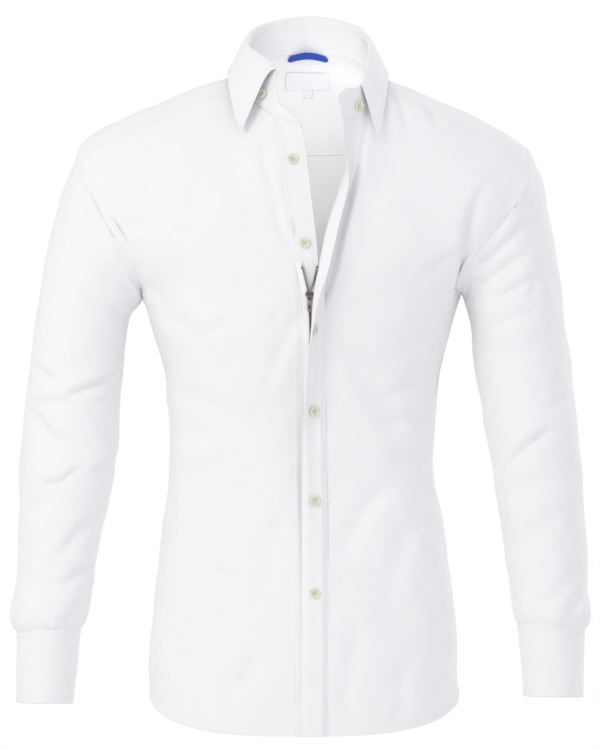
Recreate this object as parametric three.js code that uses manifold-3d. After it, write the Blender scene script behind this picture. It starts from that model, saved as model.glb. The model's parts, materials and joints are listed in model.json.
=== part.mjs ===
// Zip-front dress shirt that keeps its worn, hollow form.
// Millimetres, +Z up, the front faces -Y and +X is the wearer's left.
// The origin is the middle of the neck opening, level with the top of the shoulders.
// "down" is the distance below the origin, "out" the distance from the middle.
import * as THREE from 'three';
import { mergeVertices } from 'three/addons/utils/BufferGeometryUtils.js';
import Module from 'manifold-3d';

const wasm = await Module();
wasm.setup();

// ---------------------------------------------------------------- sizes
const CLOTH = 1.2; // wall of every cloth piece
const TRIM = 1; // wall of tapes, label, tab and loop
const SEAM_GAP = 0.3;
const YOKE_GAP = 0.4; // the fronts' share of the gap to the yoke, whose columns differ
const STAND_GAP = 0.45; // below the collar stand, for the same reason
const SLEEVE_GAP = 0.45; // the sleeve's share at the armhole
const LEFT = 1; // the wearer's left is +X
const RIGHT = -1;
const FLANK_POWER = 2.5; // how square the trunk is in plan
const ARMPIT = 230; // down
const SIDE_HEM = 663; // down, at the side seams
const FRONT_TAIL = 43; // how much lower the middle of the front hem hangs
const BACK_TAIL = 41;
const YOKE_FRONT_DROP = 18; // front seam of the yoke, below the shoulder ridge
const YOKE_BACK = 80; // back seam of the yoke, down
const SHOULDER_OUT = 241; // where the front yoke seam meets the armhole
const NECK_OUT = 70; // where the front yoke seam meets the neck

// The trunk's girth: half width, middle, and depth before and behind the middle plane.
const TRUNK = [
  { down: 0, half: 292, middle: 0, front: 84, back: 88 },
  { down: 60, half: 290, middle: 0, front: 94, back: 99 },
  { down: 103, half: 279, middle: 0, front: 105, back: 110 },
  { down: 131, half: 262, middle: -2, front: 110, back: 114 },
  { down: 163, half: 240, middle: -5, front: 115, back: 116 },
  { down: 192, half: 212, middle: -6, front: 117, back: 115 },
  { down: 215, half: 183, middle: -7, front: 118, back: 113 },
  { down: 230, half: 172.8, middle: -7, front: 118, back: 111 },
  { down: 270, half: 160, middle: -7, front: 116, back: 104 },
  { down: 327, half: 146, middle: -6, front: 106, back: 93 },
  { down: 380, half: 142, middle: -6, front: 98, back: 85 },
  { down: 430, half: 144, middle: -7, front: 95, back: 83 },
  { down: 482, half: 152, middle: -5, front: 98, back: 89 },
  { down: 560, half: 161, middle: -4, front: 106, back: 102 },
  { down: 611, half: 165.5, middle: -4.5, front: 110, back: 108 },
  { down: 663, half: 167, middle: -5, front: 112, back: 111 },
];

// The shoulder ridge, and how round it turns towards the front and the back.
const RIDGE = [
  { out: 0, height: 72, frontRound: 160, backRound: 140 },
  { out: 40, height: 46, frontRound: 160, backRound: 140 },
  { out: 72, height: 10, frontRound: 160, backRound: 140 },
  { out: 84, height: 1, frontRound: 156, backRound: 137 },
  { out: 110, height: -10, frontRound: 145, backRound: 130 },
  { out: 135, height: -20, frontRound: 132, backRound: 120 },
  { out: 190, height: -44, frontRound: 107, backRound: 102 },
  { out: 226, height: -61, frontRound: 94, backRound: 90 },
  { out: 250, height: -74, frontRound: 88, backRound: 86 },
];

// Outer edge of the front and back panels, down to the armpit.
const ARMHOLE = [
  { down: 60, out: 236 },
  { down: 83, out: 241 },
  { down: 103, out: 242 },
  { down: 131, out: 229 },
  { down: 163, out: 207 },
  { down: 192, out: 186 },
  { down: 215, out: 175.5 },
  { down: 230, out: 172.8 },
];

// The neck seam of the yoke, from the middle of the back to its front corner.
// "turn" is the angle over the shoulder, positive to the front.
const YOKE_NECK = [
  { share: 0, out: 0, turn: -44.4 },
  { share: 0.3, out: 30, turn: -33.3 },
  { share: 0.55, out: 53, turn: -20.7 },
  { share: 0.8, out: 69, turn: -5 },
  { share: 1, out: 70, turn: 27.4 },
];

// Inner edge of the right front: the neck seam, then the seam of its band.
const RIGHT_INNER = [
  { down: 5.6, out: 70 },
  { down: 16, out: 65 },
  { down: 29, out: 52 },
  { down: 40, out: 37 },
  { down: 59, out: 32.5 },
  { down: 79, out: 30 },
  { down: 124, out: 25.5 },
  { down: 160, out: 21 },
  { down: 203, out: 17 },
  { down: 281, out: 14.5 },
  { down: 706, out: 13 },
];
const BAND_TOP_DROP = 10; // the band's front corner, below its seam's top
const BAND_WIDTH = [
  { down: 40, width: 25 },
  { down: 59, width: 27 },
  { down: 90, width: 28.5 },
  { down: 706, width: 29 },
];

// Inner edge of the left front: the neck seam, then the seam of its placket.
// "curl" is how far the placket has turned by its free edge, in degrees.
const LEFT_INNER = [
  { down: 5.6, out: 70, curl: 48 },
  { down: 16, out: 68, curl: 48 },
  { down: 29, out: 64, curl: 48 },
  { down: 43, out: 60.5, curl: 50 },
  { down: 54, out: 58.5, curl: 56 },
  { down: 75, out: 56, curl: 74 },
  { down: 92, out: 53.5, curl: 98 },
  { down: 120, out: 45, curl: 136 },
  { down: 145, out: 36.5, curl: 148 },
  { down: 174, out: 28.5, curl: 152 },
  { down: 199, out: 23.3, curl: 148 },
  { down: 221, out: 20.3, curl: 132 },
  { down: 240, out: 18.5, curl: 116 },
  { down: 253, out: 17.6, curl: 108 },
  { down: 281, out: 16.4, curl: 98 },
  { down: 306, out: 17.6, curl: 86 },
  { down: 341, out: 18.9, curl: 58 },
  { down: 378, out: 19.8, curl: 40 },
  { down: 421, out: 20.6, curl: 26 },
  { down: 464, out: 21.2, curl: 14 },
  { down: 518, out: 21.5, curl: 6 },
  { down: 706, out: 21.5, curl: 0 },
];
const NECK_END = 3; // the row of both inner edges where the neck seam ends
const PLACKET_WIDTH = 28;
const PLACKET_CURL_FROM = 5; // from the seam, where the curl starts
const PLACKET_CURL_TO = 19;
const PLACKET_LIFT = 5; // room below the placket for the zip
const PLACKET_LIFT_RUN = 7;
const PLACKET_LIFT_FROM = 140; // down
const PLACKET_LIFT_TO = 200;
const PLACKET_TOP_DROP = 4;

// Sleeve rings from the armhole to the cuff: the point next to the body, the point on
// the outside, the depth front to back and how far the arm has come forward.
const SLEEVE_DEPTH = [
  { ring: 1, depth: 140, forward: 0, blend: 0.62 },
  { ring: 2, depth: 137, forward: 0, blend: 0.9 },
  { ring: 3, depth: 134, forward: 0, blend: 1 },
  { ring: 4, depth: 131, forward: 0, blend: 1 },
  { ring: 5, depth: 128, forward: 1, blend: 1 },
  { ring: 6, depth: 124, forward: 3, blend: 1 },
  { ring: 7, depth: 120, forward: 6, blend: 1 },
  { ring: 8, depth: 116, forward: 9, blend: 1 },
  { ring: 9, depth: 112, forward: 12, blend: 1 },
  { ring: 10, depth: 106, forward: 16, blend: 1 },
  { ring: 11, depth: 99, forward: 20, blend: 1 },
  { ring: 12, depth: 97, forward: 23, blend: 1 },
  { ring: 13, depth: 98, forward: 25, blend: 1 },
  { ring: 14, depth: 88, forward: 26, blend: 1 },
];
const SLEEVE_RIGHT = [
  { innerOut: 181.4, innerDown: 237.6, outerOut: 246, outerDown: 78 },
  { innerOut: 185.8, innerDown: 246, outerOut: 257, outerDown: 104 },
  { innerOut: 191, innerDown: 255, outerOut: 270, outerDown: 143 },
  { innerOut: 194.4, innerDown: 270, outerOut: 283, outerDown: 190 },
  { innerOut: 196.6, innerDown: 294, outerOut: 291.6, outerDown: 243 },
  { innerOut: 197.6, innerDown: 319, outerOut: 297, outerDown: 294 },
  { innerOut: 201, innerDown: 351, outerOut: 303.5, outerDown: 346 },
  { innerOut: 205, innerDown: 394, outerOut: 309, outerDown: 394 },
  { innerOut: 208.4, innerDown: 432, outerOut: 312, outerDown: 434 },
  { innerOut: 218, innerDown: 477, outerOut: 313, outerDown: 477 },
  { innerOut: 229, innerDown: 524, outerOut: 314, outerDown: 518 },
  { innerOut: 234, innerDown: 553, outerOut: 316, outerDown: 553 },
  { innerOut: 238.7, innerDown: 575, outerOut: 319, outerDown: 579 },
  { innerOut: 245, innerDown: 590, outerOut: 314.8, outerDown: 596 },
];
const SLEEVE_LEFT = [
  { innerOut: 169.6, innerDown: 237.6, outerOut: 249, outerDown: 88 },
  { innerOut: 172.8, innerDown: 250.6, outerOut: 258, outerDown: 122 },
  { innerOut: 176, innerDown: 264.6, outerOut: 264.6, outerDown: 164 },
  { innerOut: 178, innerDown: 286, outerOut: 271, outerDown: 207 },
  { innerOut: 181.4, innerDown: 309, outerOut: 276.5, outerDown: 250.6 },
  { innerOut: 184.7, innerDown: 334.8, outerOut: 283, outerDown: 294 },
  { innerOut: 189, innerDown: 368, outerOut: 288.4, outerDown: 343.4 },
  { innerOut: 194.4, innerDown: 399.6, outerOut: 293.8, outerDown: 394 },
  { innerOut: 201, innerDown: 434, outerOut: 297, outerDown: 437 },
  { innerOut: 207.4, innerDown: 477, outerOut: 299, outerDown: 480.6 },
  { innerOut: 213.8, innerDown: 520.6, outerOut: 300, outerDown: 524 },
  { innerOut: 219, innerDown: 553, outerOut: 300, outerDown: 555 },
  { innerOut: 220.9, innerDown: 570, outerOut: 301.9, outerDown: 576.7 },
  { innerOut: 225.7, innerDown: 585.4, outerOut: 298, outerDown: 591.8 },
];
// Where the sleeves have rings, between the table's rows.
const SLEEVE_PLACES = [1, 1.5, 2, 2.5, 3, 3.5, 4, 5, 5.6, 6, 6.4, 6.9, 7.5, 8, 8.5, 9.2, 9.8, 10.4, 11,
  11.7, 12.4, 13, 14];

// The largest folds of the sleeves: soft troughs across them, by their place between the
// rings and their turn round the sleeve in degrees. "slant" is in rings for a quarter turn.
const SLEEVE_FOLDS = [
  { side: RIGHT, place: 6.4, turn: 118, reach: 80, slant: -0.9, width: 0.36, depth: 5 },
  { side: RIGHT, place: 7.6, turn: 50, reach: 60, slant: 0.3, width: 0.4, depth: 4 },
  { side: RIGHT, place: 9.4, turn: 100, reach: 60, slant: -0.6, width: 0.45, depth: 4 },
  { side: RIGHT, place: 10.7, turn: 110, reach: 70, slant: -0.9, width: 0.45, depth: 3.5 },
  { side: RIGHT, place: 7.2, turn: 250, reach: 80, slant: 0.7, width: 0.45, depth: 4 },
  { side: RIGHT, place: 9.2, turn: 235, reach: 70, slant: -0.6, width: 0.5, depth: 4 },
  { side: LEFT, place: 1.8, turn: 88, reach: 60, slant: -1.2, width: 0.32, depth: 3.5 },
  { side: LEFT, place: 3.2, turn: 84, reach: 70, slant: -0.6, width: 0.36, depth: 4 },
  { side: LEFT, place: 8, turn: 88, reach: 70, slant: -1.3, width: 0.42, depth: 4 },
  { side: LEFT, place: 9.6, turn: 150, reach: 60, slant: -0.5, width: 0.45, depth: 3.5 },
  { side: LEFT, place: 7.4, turn: 245, reach: 80, slant: 0.8, width: 0.45, depth: 4 },
  { side: LEFT, place: 9.4, turn: 225, reach: 70, slant: -0.6, width: 0.5, depth: 3.5 },
];
const CUFF_ENDS = {
  [RIGHT]: { innerOut: 252.7, innerDown: 672, outerOut: 315, outerDown: 671 },
  [LEFT]: { innerOut: 232, innerDown: 664, outerOut: 297, outerDown: 665 },
};
const CUFF_DEPTH = 84;
const CUFF_FORWARD = 31;
const CUFF_OVERLAP = 30; // degrees round the wrist
const CUFF_OVERLAP_AT = 140; // degrees from the outside, towards the back
const CUFF_STEP = 1.7; // the outer end stands this much proud
const CUFF_RAMP = 28; // degrees before the overlap in which it rises
const SLIT_WIDTH = 20; // degrees round the sleeve
const SLIT_RINGS = [10.4, 13.6];
const SLIT_GAP = 0.5; // below the strip, whose columns differ from the sleeve's

// The collar, by its share of the neck seam from the right front end to the left one:
// the fold at the top of the stand and the free edge of the leaf.
const STAND = [
  { share: 0, x: -12, y: -88, z: -43 },
  { share: 0.035, x: -18, y: -86, z: -38 },
  { share: 0.066, x: -25, y: -83, z: -33 },
  { share: 0.1, x: -32, y: -79, z: -25 },
  { share: 0.13, x: -34.5, y: -73, z: -8 },
  { share: 0.165, x: -34.5, y: -66, z: 9 },
  { share: 0.22, x: -48, y: -50, z: 22 },
  { share: 0.3, x: -65, y: -12, z: 37 },
  { share: 0.38, x: -58, y: 30, z: 53 },
  { share: 0.45, x: -35, y: 54, z: 61.5 },
  { share: 0.52, x: 0, y: 62, z: 65 },
  { share: 0.59, x: 35, y: 54, z: 61.5 },
  { share: 0.66, x: 58, y: 30, z: 53 },
  { share: 0.735, x: 66, y: -8, z: 38 },
  { share: 0.8, x: 65, y: -34, z: 21 },
  { share: 0.85, x: 62, y: -54, z: 5 },
  { share: 0.89, x: 57, y: -68, z: -7 },
  { share: 0.93, x: 50, y: -80, z: -10 },
  { share: 0.97, x: 40, y: -92, z: -11.5 },
  { share: 1, x: 32, y: -98, z: -19.5 },
];
// "bow" is how far the leaf swings out below the fold, as a factor.
const LEAF = [
  { share: 0.165, x: -72, y: -86, z: -57, bow: 2.4 },
  { share: 0.2, x: -80, y: -67, z: -36, bow: 2 },
  { share: 0.25, x: -85, y: -42, z: -12, bow: 1.3 },
  { share: 0.3, x: -87, y: -8, z: 5, bow: 1 },
  { share: 0.38, x: -74, y: 44, z: 16, bow: 1 },
  { share: 0.45, x: -46, y: 71, z: 20, bow: 1 },
  { share: 0.52, x: 0, y: 80, z: 21, bow: 1 },
  { share: 0.59, x: 46, y: 71, z: 20, bow: 1 },
  { share: 0.66, x: 74, y: 44, z: 16, bow: 1 },
  { share: 0.735, x: 87, y: -4, z: 5, bow: 1 },
  { share: 0.8, x: 85, y: -42, z: -12, bow: 0.8 },
  { share: 0.85, x: 81, y: -68, z: -38, bow: 0.5 },
  { share: 0.89, x: 77, y: -88, z: -68, bow: 0.3 },
];
const STAND_COLUMNS = 44;
const LEAF_COLUMNS = 36;
// How the leaf turns over the top of the stand: its outside starts inset and above it,
// swings out over it and passes a point part of the way to its edge.
const LEAF_TURN = { inset: 0.6, above: 2, over: 6, rise: 2, part: 0.4, out: 3 };

// The zip: where each chain's middle runs. Above the slider the left side lies inside the
// rolled placket, and "parted" is how much of the way it has gone there.
const ZIP = [
  { down: 200, right: -7.3, left: 11.2, parted: 1 },
  { down: 207, right: -5.4, left: 9.7, parted: 0.9 },
  { down: 219, right: -2.7, left: 6.3, parted: 0.35 },
  { down: 227, right: -0.9, left: 4.1, parted: 0.03 },
  { down: 231, right: -0.5, left: 3.7, parted: 0 },
  { down: 234, right: 0.2, left: 3, parted: 0 },
  { down: 238, right: 0.4, left: 2.8, parted: 0 },
  { down: 281, right: 2, left: 4.4, parted: 0 },
  { down: 640, right: 2, left: 4.4, parted: 0 },
];
const CHAIN_WIDTH = 2.1;
const CHAIN_THICK = 1.8;
const CHAIN_LEVEL = 2.5; // middle of the chain, off the right front
const CHAIN_TOP = 205;
const CHAIN_FOOT = 630;
const TAPE_TOP = 197;
const TAPE_WIDTH = 5.5; // of the right tape beside its chain
const TAPE_GAP = 0.45;
const TAPE_OUTER_LEVEL = 0.9;
const TAPE_INSET = 5; // from the placket's seam to the left tape's far edge
const TAPE_REACH = 12; // along the rolled placket, from its seam
const CHAIN_REACH = [13.2, 15.3];
const UNDER_PLACKET = 1.9; // from its outside to the tape or chain below it
const SLIDER = { x: 1.6, down: 234, width: 8.4, waist: 5.2, height: 9.2, plate: 1, room: 2.4 };
const POST = { top: 1.6, foot: 0.4, length: 3 }; // the wedge between the slider's plates
const BRIDGE = { width: 1.6, half: 2.3, rise: 3, bar: 0.8, sunk: 0.2 };
const PULL = { width: 5, neck: 4.3, length: 17, thick: 1.1, bar: 0.9 };
const PULL_SLOT = { width: 2.6, length: 4.2 }; // the bridge goes through it
const PULL_FLARE = { from: 5.2, to: 8.2 }; // where the neck widens, below the hinge
const PULL_EYE = { up: 5, width: 2.2, length: 5.1 };
const HINGE_OFF = 1.2; // from the slider's face
const STOP = { width: 1.8, height: 2.6, thick: 2.2 };
const FOOT_STOP = { width: 4.4, height: 6, thick: 1.8 };

const BUTTON = { thick: 2.4, hole: 0.85, spread: 1.05, sides: 16, gap: 0.35 };
// Half the section of a button, from the middle of its back round the rim to its dish.
const BUTTON_SECTION = [
  { out: 0, up: 0 },
  { out: 4.3, up: 0 },
  { out: 5.7, up: 1.1 },
  { out: 5.35, up: 2.4 },
  { out: 4.2, up: 2.4 },
  { out: 3.5, up: 1.5 },
  { out: 0, up: 1.5 },
];
const BAND_BUTTONS = { button_band_upper: { x: -16, down: 87 }, button_band_lower: { x: -3.5, down: 177 } };
// "shank" is how far a button stands off on its thread, more in the hollow of the roll.
const PLACKET_BUTTONS = {
  button_placket_1: { down: 270, shank: 3 },
  button_placket_2: { down: 357.5, shank: 1.6 },
  button_placket_3: { down: 453.5, shank: 0.8 },
  button_placket_4: { down: 553, shank: 0.5 },
};
const STAND_BUTTONS = {
  button_stand_right: { share: 0.136, rise: 0.37 },
  button_stand_left: { share: 0.934, rise: 0.42 },
};
const STAND_SHANK = 0.75;

const LOOP = { half: 22.3, top: 31.5, ends: 27, width: 6.5 };
const TRIM_ROOM = 1.7; // off the smooth yoke, whose flats lie inside it
const LABEL = { half: 24, top: 10, foot: -8 };
const TAB = { half: 4.8, top: -8.5, foot: -17 };

// ---------------------------------------------------------------- materials
function finish(color, roughness, metalness = 0) {
  return () => new THREE.MeshStandardMaterial({ color, roughness, metalness, side: THREE.DoubleSide });
}
const cloth = finish('#f0f0f4', 0.85);
const tapeCloth = finish('#f2f1ee', 0.8);
const loopCloth = finish('#1747b4', 0.7);
const labelCloth = finish('#f3f3f2', 0.7);
const darkMetal = finish('#4d4848', 0.35, 0.9);
const pullMetal = finish('#9b7f78', 0.35, 0.9);
const pearl = finish('#e9e7cf', 0.25);

// ---------------------------------------------------------------- small maths
const mix = THREE.MathUtils.lerp;
const clamp = THREE.MathUtils.clamp;
const smooth = (value) => THREE.MathUtils.smoothstep(value, 0, 1);
const radians = THREE.MathUtils.degToRad;

function point(x, y, z) {
  return new THREE.Vector3(x, y, z);
}

// Smooth curve through one column of a table that is sorted by its key.
function column(table, key, name) {
  const at = table.map((row) => row[key]);
  const value = table.map((row) => row[name]);
  const rise = at.slice(1).map((end, i) => (value[i + 1] - value[i]) / (end - at[i]));
  const slope = at.map((_, i) => {
    const before = rise[Math.max(i - 1, 0)];
    const after = rise[Math.min(i, rise.length - 1)];
    return before * after <= 0 ? 0 : (2 * before * after) / (before + after);
  });
  return (where) => {
    if (where <= at[0]) return value[0];
    if (where >= at.at(-1)) return value.at(-1);
    const i = at.findIndex((end) => end > where) - 1;
    const span = at[i + 1] - at[i];
    const t = (where - at[i]) / span;
    const start = (1 + 2 * t) * (1 - t) ** 2 * value[i] + t * (1 - t) ** 2 * span * slope[i];
    const end = t * t * (3 - 2 * t) * value[i + 1] - t * t * (1 - t) * span * slope[i + 1];
    return start + end;
  };
}

function columns(table, key, ...names) {
  return Object.fromEntries(names.map((name) => [name, column(table, key, name)]));
}

function steps(count, from = 0, to = 1) {
  return Array.from({ length: count + 1 }, (_, i) => mix(from, to, i / count));
}

// ---------------------------------------------------------------- the trunk's surface
const trunk = columns(TRUNK, 'down', 'half', 'middle', 'front', 'back');
const ridge = columns(RIDGE, 'out', 'height', 'frontRound', 'backRound');
const armhole = columns(ARMHOLE, 'down', 'out');
const rightInner = columns(RIGHT_INNER, 'down', 'out');
const bandWidth = columns(BAND_WIDTH, 'down', 'width');
const leftInner = columns(LEFT_INNER, 'down', 'out', 'curl');
const yokeNeck = columns(YOKE_NECK, 'share', 'out', 'turn');

function flank(x, z) {
  const reach = Math.min(Math.abs(x - trunk.middle(-z)) / trunk.half(-z), 1);
  return (1 - reach ** FLANK_POWER) ** (1 / FLANK_POWER);
}

function frontPoint(x, z) {
  const level = clamp(1 - (ridge.height(Math.abs(x)) - z) / ridge.frontRound(Math.abs(x)), 0, 1);
  return point(x, -trunk.front(-z) * Math.sqrt(1 - level * level) * flank(x, z), z);
}

function backPoint(x, z) {
  const level = clamp(1 - (ridge.height(Math.abs(x)) - z) / ridge.backRound(Math.abs(x)), 0, 1);
  return point(x, trunk.back(-z) * Math.sqrt(1 - level * level) * flank(x, z), z);
}

// A point over the shoulder, by its turn from the ridge: positive to the front, in radians.
function overShoulder(x, turn) {
  const round = turn > 0 ? ridge.frontRound(Math.abs(x)) : ridge.backRound(Math.abs(x));
  const bend = Math.min(Math.abs(turn), Math.PI / 2);
  const below = round * (1 - Math.cos(bend) + Math.max(Math.abs(turn) - Math.PI / 2, 0));
  const z = ridge.height(Math.abs(x)) - below;
  return turn > 0 ? frontPoint(x, z) : backPoint(x, z);
}

function turnAt(x, z, round) {
  const below = (ridge.height(Math.abs(x)) - z) / round(Math.abs(x));
  return below > 1 ? Math.PI / 2 + below - 1 : Math.acos(1 - below);
}

function outerEdge(down) {
  return down < ARMPIT ? armhole.out(down) : trunk.half(down);
}

function frontHem(x) {
  const reach = Math.min(Math.abs(x - trunk.middle(SIDE_HEM)) / trunk.half(SIDE_HEM), 1);
  return -SIDE_HEM - FRONT_TAIL * Math.sqrt(1 - reach ** 3);
}

function backHem(x) {
  const reach = Math.min(Math.abs(x - trunk.middle(SIDE_HEM)) / trunk.half(SIDE_HEM), 1);
  return -SIDE_HEM - BACK_TAIL * Math.sqrt(1 - reach ** 3);
}

// ---------------------------------------------------------------- walls from grids of points
// A grid's columns run clockwise round the form as seen from above, and its rows run down.
function outwards(grid, ring) {
  const count = grid[0].length;
  return grid.map((row, r) => row.map((_, c) => {
    const before = ring ? row[(c + count - 1) % count] : row[Math.max(c - 1, 0)];
    const after = ring ? row[(c + 1) % count] : row[Math.min(c + 1, count - 1)];
    const above = grid[Math.max(r - 1, 0)][c];
    const below = grid[Math.min(r + 1, grid.length - 1)][c];
    return after.clone().sub(before).cross(below.clone().sub(above)).normalize();
  }));
}

function moved(grid, distance, ring = false) {
  const normals = outwards(grid, ring);
  return grid.map((row, r) => row.map((spot, c) => spot.clone().addScaledVector(normals[r][c], distance)));
}

// Draws the named edges of a grid back along the cloth, to leave the gap of a seam.
function drawnBack(grid, edges, gap = SEAM_GAP / 2) {
  const copy = grid.map((row) => row.map((spot) => spot.clone()));
  const last = grid.length - 1;
  const end = grid[0].length - 1;
  const pull = (r, c, towardsRow, towardsColumn) => {
    const way = grid[towardsRow][towardsColumn].clone().sub(grid[r][c]).normalize();
    copy[r][c].addScaledVector(way, gap);
  };
  for (let c = 0; c <= end; c += 1) {
    if (edges.includes('top')) pull(0, c, 1, c);
    if (edges.includes('foot')) pull(last, c, last - 1, c);
  }
  for (let r = 0; r <= last; r += 1) {
    if (edges.includes('start')) pull(r, 0, r, 1);
    if (edges.includes('end')) pull(r, end, r, end - 1);
  }
  return copy;
}

function reversed(grid) {
  return grid.map((row) => [...row].reverse());
}

function geometryFrom(spots, faces) {
  const geometry = new THREE.BufferGeometry();
  geometry.setAttribute('position', new THREE.Float32BufferAttribute(spots.flatMap((s) => s.toArray()), 3));
  geometry.setIndex(faces.flat());
  return geometry;
}

// The closed solid between a grid and the same grid moved inwards. At a seam, both
// pieces take the same outward ways, so that their inner corners don't meet.
function wall(grid, { thickness = CLOTH, ring = false, topWays = null, footWays = null } = {}) {
  const inner = moved(grid, -thickness, ring);
  const shared = (row, ways) => row.map((spot, c) => spot.clone().addScaledVector(ways[c], -thickness));
  if (topWays) inner[0] = shared(grid[0], topWays);
  if (footWays) inner[inner.length - 1] = shared(grid.at(-1), footWays);
  const width = grid[0].length;
  const spots = [...grid.flat(), ...inner.flat()];
  const under = grid.length * width;
  const faces = [];
  const spans = ring ? width : width - 1;
  const quad = (a, b, c, d) => faces.push([a, b, c], [a, c, d]);
  for (let c = 0; c < spans; c += 1) {
    const next = (c + 1) % width;
    for (let r = 0; r < grid.length - 1; r += 1) {
      const [a, b] = [r * width + c, r * width + next];
      quad(a, b, b + width, a + width);
      quad(under + a, under + a + width, under + b + width, under + b);
    }
    const foot = (grid.length - 1) * width;
    quad(next, c, under + c, under + next);
    quad(foot + c, foot + next, under + foot + next, under + foot + c);
  }
  if (!ring) {
    for (let r = 0; r < grid.length - 1; r += 1) {
      const [start, end] = [r * width, r * width + width - 1];
      quad(start, start + width, under + start + width, under + start);
      quad(end + width, end, under + end, under + end + width);
    }
  }
  return geometryFrom(spots, faces);
}

// ---------------------------------------------------------------- booleans
function toSolid(geometry) {
  const bare = geometry.clone();
  bare.deleteAttribute('normal');
  bare.deleteAttribute('uv');
  const merged = mergeVertices(bare, 1e-4);
  return new wasm.Manifold(new wasm.Mesh({
    numProp: 3,
    vertProperties: merged.attributes.position.array,
    triVerts: merged.index.array,
  }));
}

function toGeometry(solid) {
  const mesh = solid.getMesh();
  const geometry = new THREE.BufferGeometry();
  geometry.setAttribute('position', new THREE.BufferAttribute(mesh.vertProperties, mesh.numProp));
  geometry.setIndex(new THREE.BufferAttribute(mesh.triVerts, 1));
  return geometry;
}

// ---------------------------------------------------------------- fronts, back and yoke
const PANEL_COLUMNS = steps(10).map((t) => Math.sin((t * Math.PI) / 2));
const FRONT_ROWS = [0, 0.02, 0.05, 0.085, 0.125, 0.165, 0.207, 0.248, 0.31, 0.38, 0.46, 0.54, 0.62, 0.7,
  0.78, 0.86, 0.93, 1];
const ARMPIT_ROW = 7;
const BACK_ROWS = [0, 0.06, 0.125, 0.19, 0.2573, 0.33, 0.42, 0.52, 0.62, 0.72, 0.82, 0.92, 1];
const BACK_ARMPIT_ROW = 4;
const BACK_COLUMNS = steps(24, -1, 1).map((t) => Math.sin((t * Math.PI) / 2)); // the yoke's too

// A front from its inner edge to the side seam, row by row.
function frontGrid(side, inner) {
  const topInner = ridge.height(NECK_OUT) - YOKE_FRONT_DROP;
  const topOuter = ridge.height(SHOULDER_OUT) - YOKE_FRONT_DROP;
  const hemMiddle = trunk.middle(SIDE_HEM);
  const hemOut = side * hemMiddle + trunk.half(SIDE_HEM);
  return FRONT_ROWS.map((v) => {
    const innerX = side * inner.out(-mix(topInner, frontHem(0), v));
    const outerDown = -mix(topOuter, -SIDE_HEM, v);
    const outerX = trunk.middle(outerDown) + side * outerEdge(outerDown);
    return PANEL_COLUMNS.map((u) => {
      const topX = mix(NECK_OUT, SHOULDER_OUT, u);
      const top = ridge.height(topX) - YOKE_FRONT_DROP;
      const foot = frontHem(side * mix(inner.out(SIDE_HEM), hemOut, u));
      return frontPoint(mix(innerX, outerX, u), mix(top, foot, v));
    });
  });
}

const frontRightGrid = frontGrid(RIGHT, rightInner);
const frontLeftGrid = frontGrid(LEFT, leftInner);

function backRow(v) {
  const outerDown = mix(YOKE_BACK, SIDE_HEM, v);
  return BACK_COLUMNS.map((t) => {
    const x = trunk.middle(outerDown) + t * outerEdge(outerDown);
    const hem = backHem(trunk.middle(SIDE_HEM) + t * trunk.half(SIDE_HEM));
    return backPoint(x, mix(-YOKE_BACK, hem, v));
  });
}
const backGrid = BACK_ROWS.map(backRow);

// The yoke runs from its front seams and the neck to its back seam.
const YOKE_ROWS = steps(6);
const NECK_SHARE = BACK_COLUMNS[17]; // of the yoke's half width, along its neck seam

function yokeTop(t) {
  const across = Math.abs(t);
  if (across <= NECK_SHARE) {
    const share = across / NECK_SHARE;
    return { x: Math.sign(t) * yokeNeck.out(share), turn: radians(yokeNeck.turn(share)) };
  }
  const out = mix(NECK_OUT, SHOULDER_OUT, (across - NECK_SHARE) / (1 - NECK_SHARE));
  const turn = turnAt(out, ridge.height(out) - YOKE_FRONT_DROP, ridge.frontRound);
  return { x: Math.sign(t) * out, turn };
}

function yokePoint(t, v) {
  const top = yokeTop(t);
  const footX = t * outerEdge(YOKE_BACK);
  const footTurn = -turnAt(footX, -YOKE_BACK, ridge.backRound);
  return overShoulder(mix(top.x, footX, v), mix(top.turn, footTurn, v));
}
const yokeGrid = YOKE_ROWS.map((v) => BACK_COLUMNS.map((t) => yokePoint(t, v)));

// ---------------------------------------------------------------- band and placket
// Rows that the band, the placket and the zip share below the opening.
const LOWER_ROWS = [281, 316, 352, 398, 445, 495, 545, 596, 640];
const BAND_ROWS = [62, 78, 100, 130, 165, 205, 238, ...LOWER_ROWS];
const BAND_COLUMNS = steps(3, 1, 0);

function bandPoint(u, down) {
  const x = -rightInner.out(down) + u * bandWidth.width(down);
  return frontPoint(x, -down);
}

function bandHem(u) {
  const { x } = bandPoint(u, SIDE_HEM);
  return bandPoint(u, -frontHem(x));
}
const bandTopDown = RIGHT_INNER[NECK_END].down;
const bandGrid = [
  BAND_COLUMNS.map((u) => {
    const { x } = bandPoint(u, bandTopDown);
    return frontPoint(x, -bandTopDown - BAND_TOP_DROP * u);
  }),
  ...BAND_ROWS.map((down) => BAND_COLUMNS.map((u) => bandPoint(u, down))),
  BAND_COLUMNS.map(bandHem),
];

const PLACKET_ROWS = [56, 70, 86, 104, 125, 150, 175, 200, 220, 236, 250, 262, 272, 281, 298,
  ...LOWER_ROWS.slice(1)];
const PLACKET_COLUMNS = [0, 3, 6, 9, 11.5, 14, 17, 20, 24, 28];
const CURL_STEPS = 24;

// How far the placket has gone towards the middle and forward at a distance from its seam.
function curlTo(distance, curl) {
  const stride = distance / CURL_STEPS;
  let inwards = 0;
  let forward = 0;
  for (let i = 0; i < CURL_STEPS; i += 1) {
    const along = (i + 0.5) * stride;
    const turned = smooth((along - PLACKET_CURL_FROM) / (PLACKET_CURL_TO - PLACKET_CURL_FROM));
    inwards += stride * Math.cos(radians(curl) * turned);
    forward += stride * Math.sin(radians(curl) * turned);
  }
  return { inwards, forward };
}

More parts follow.
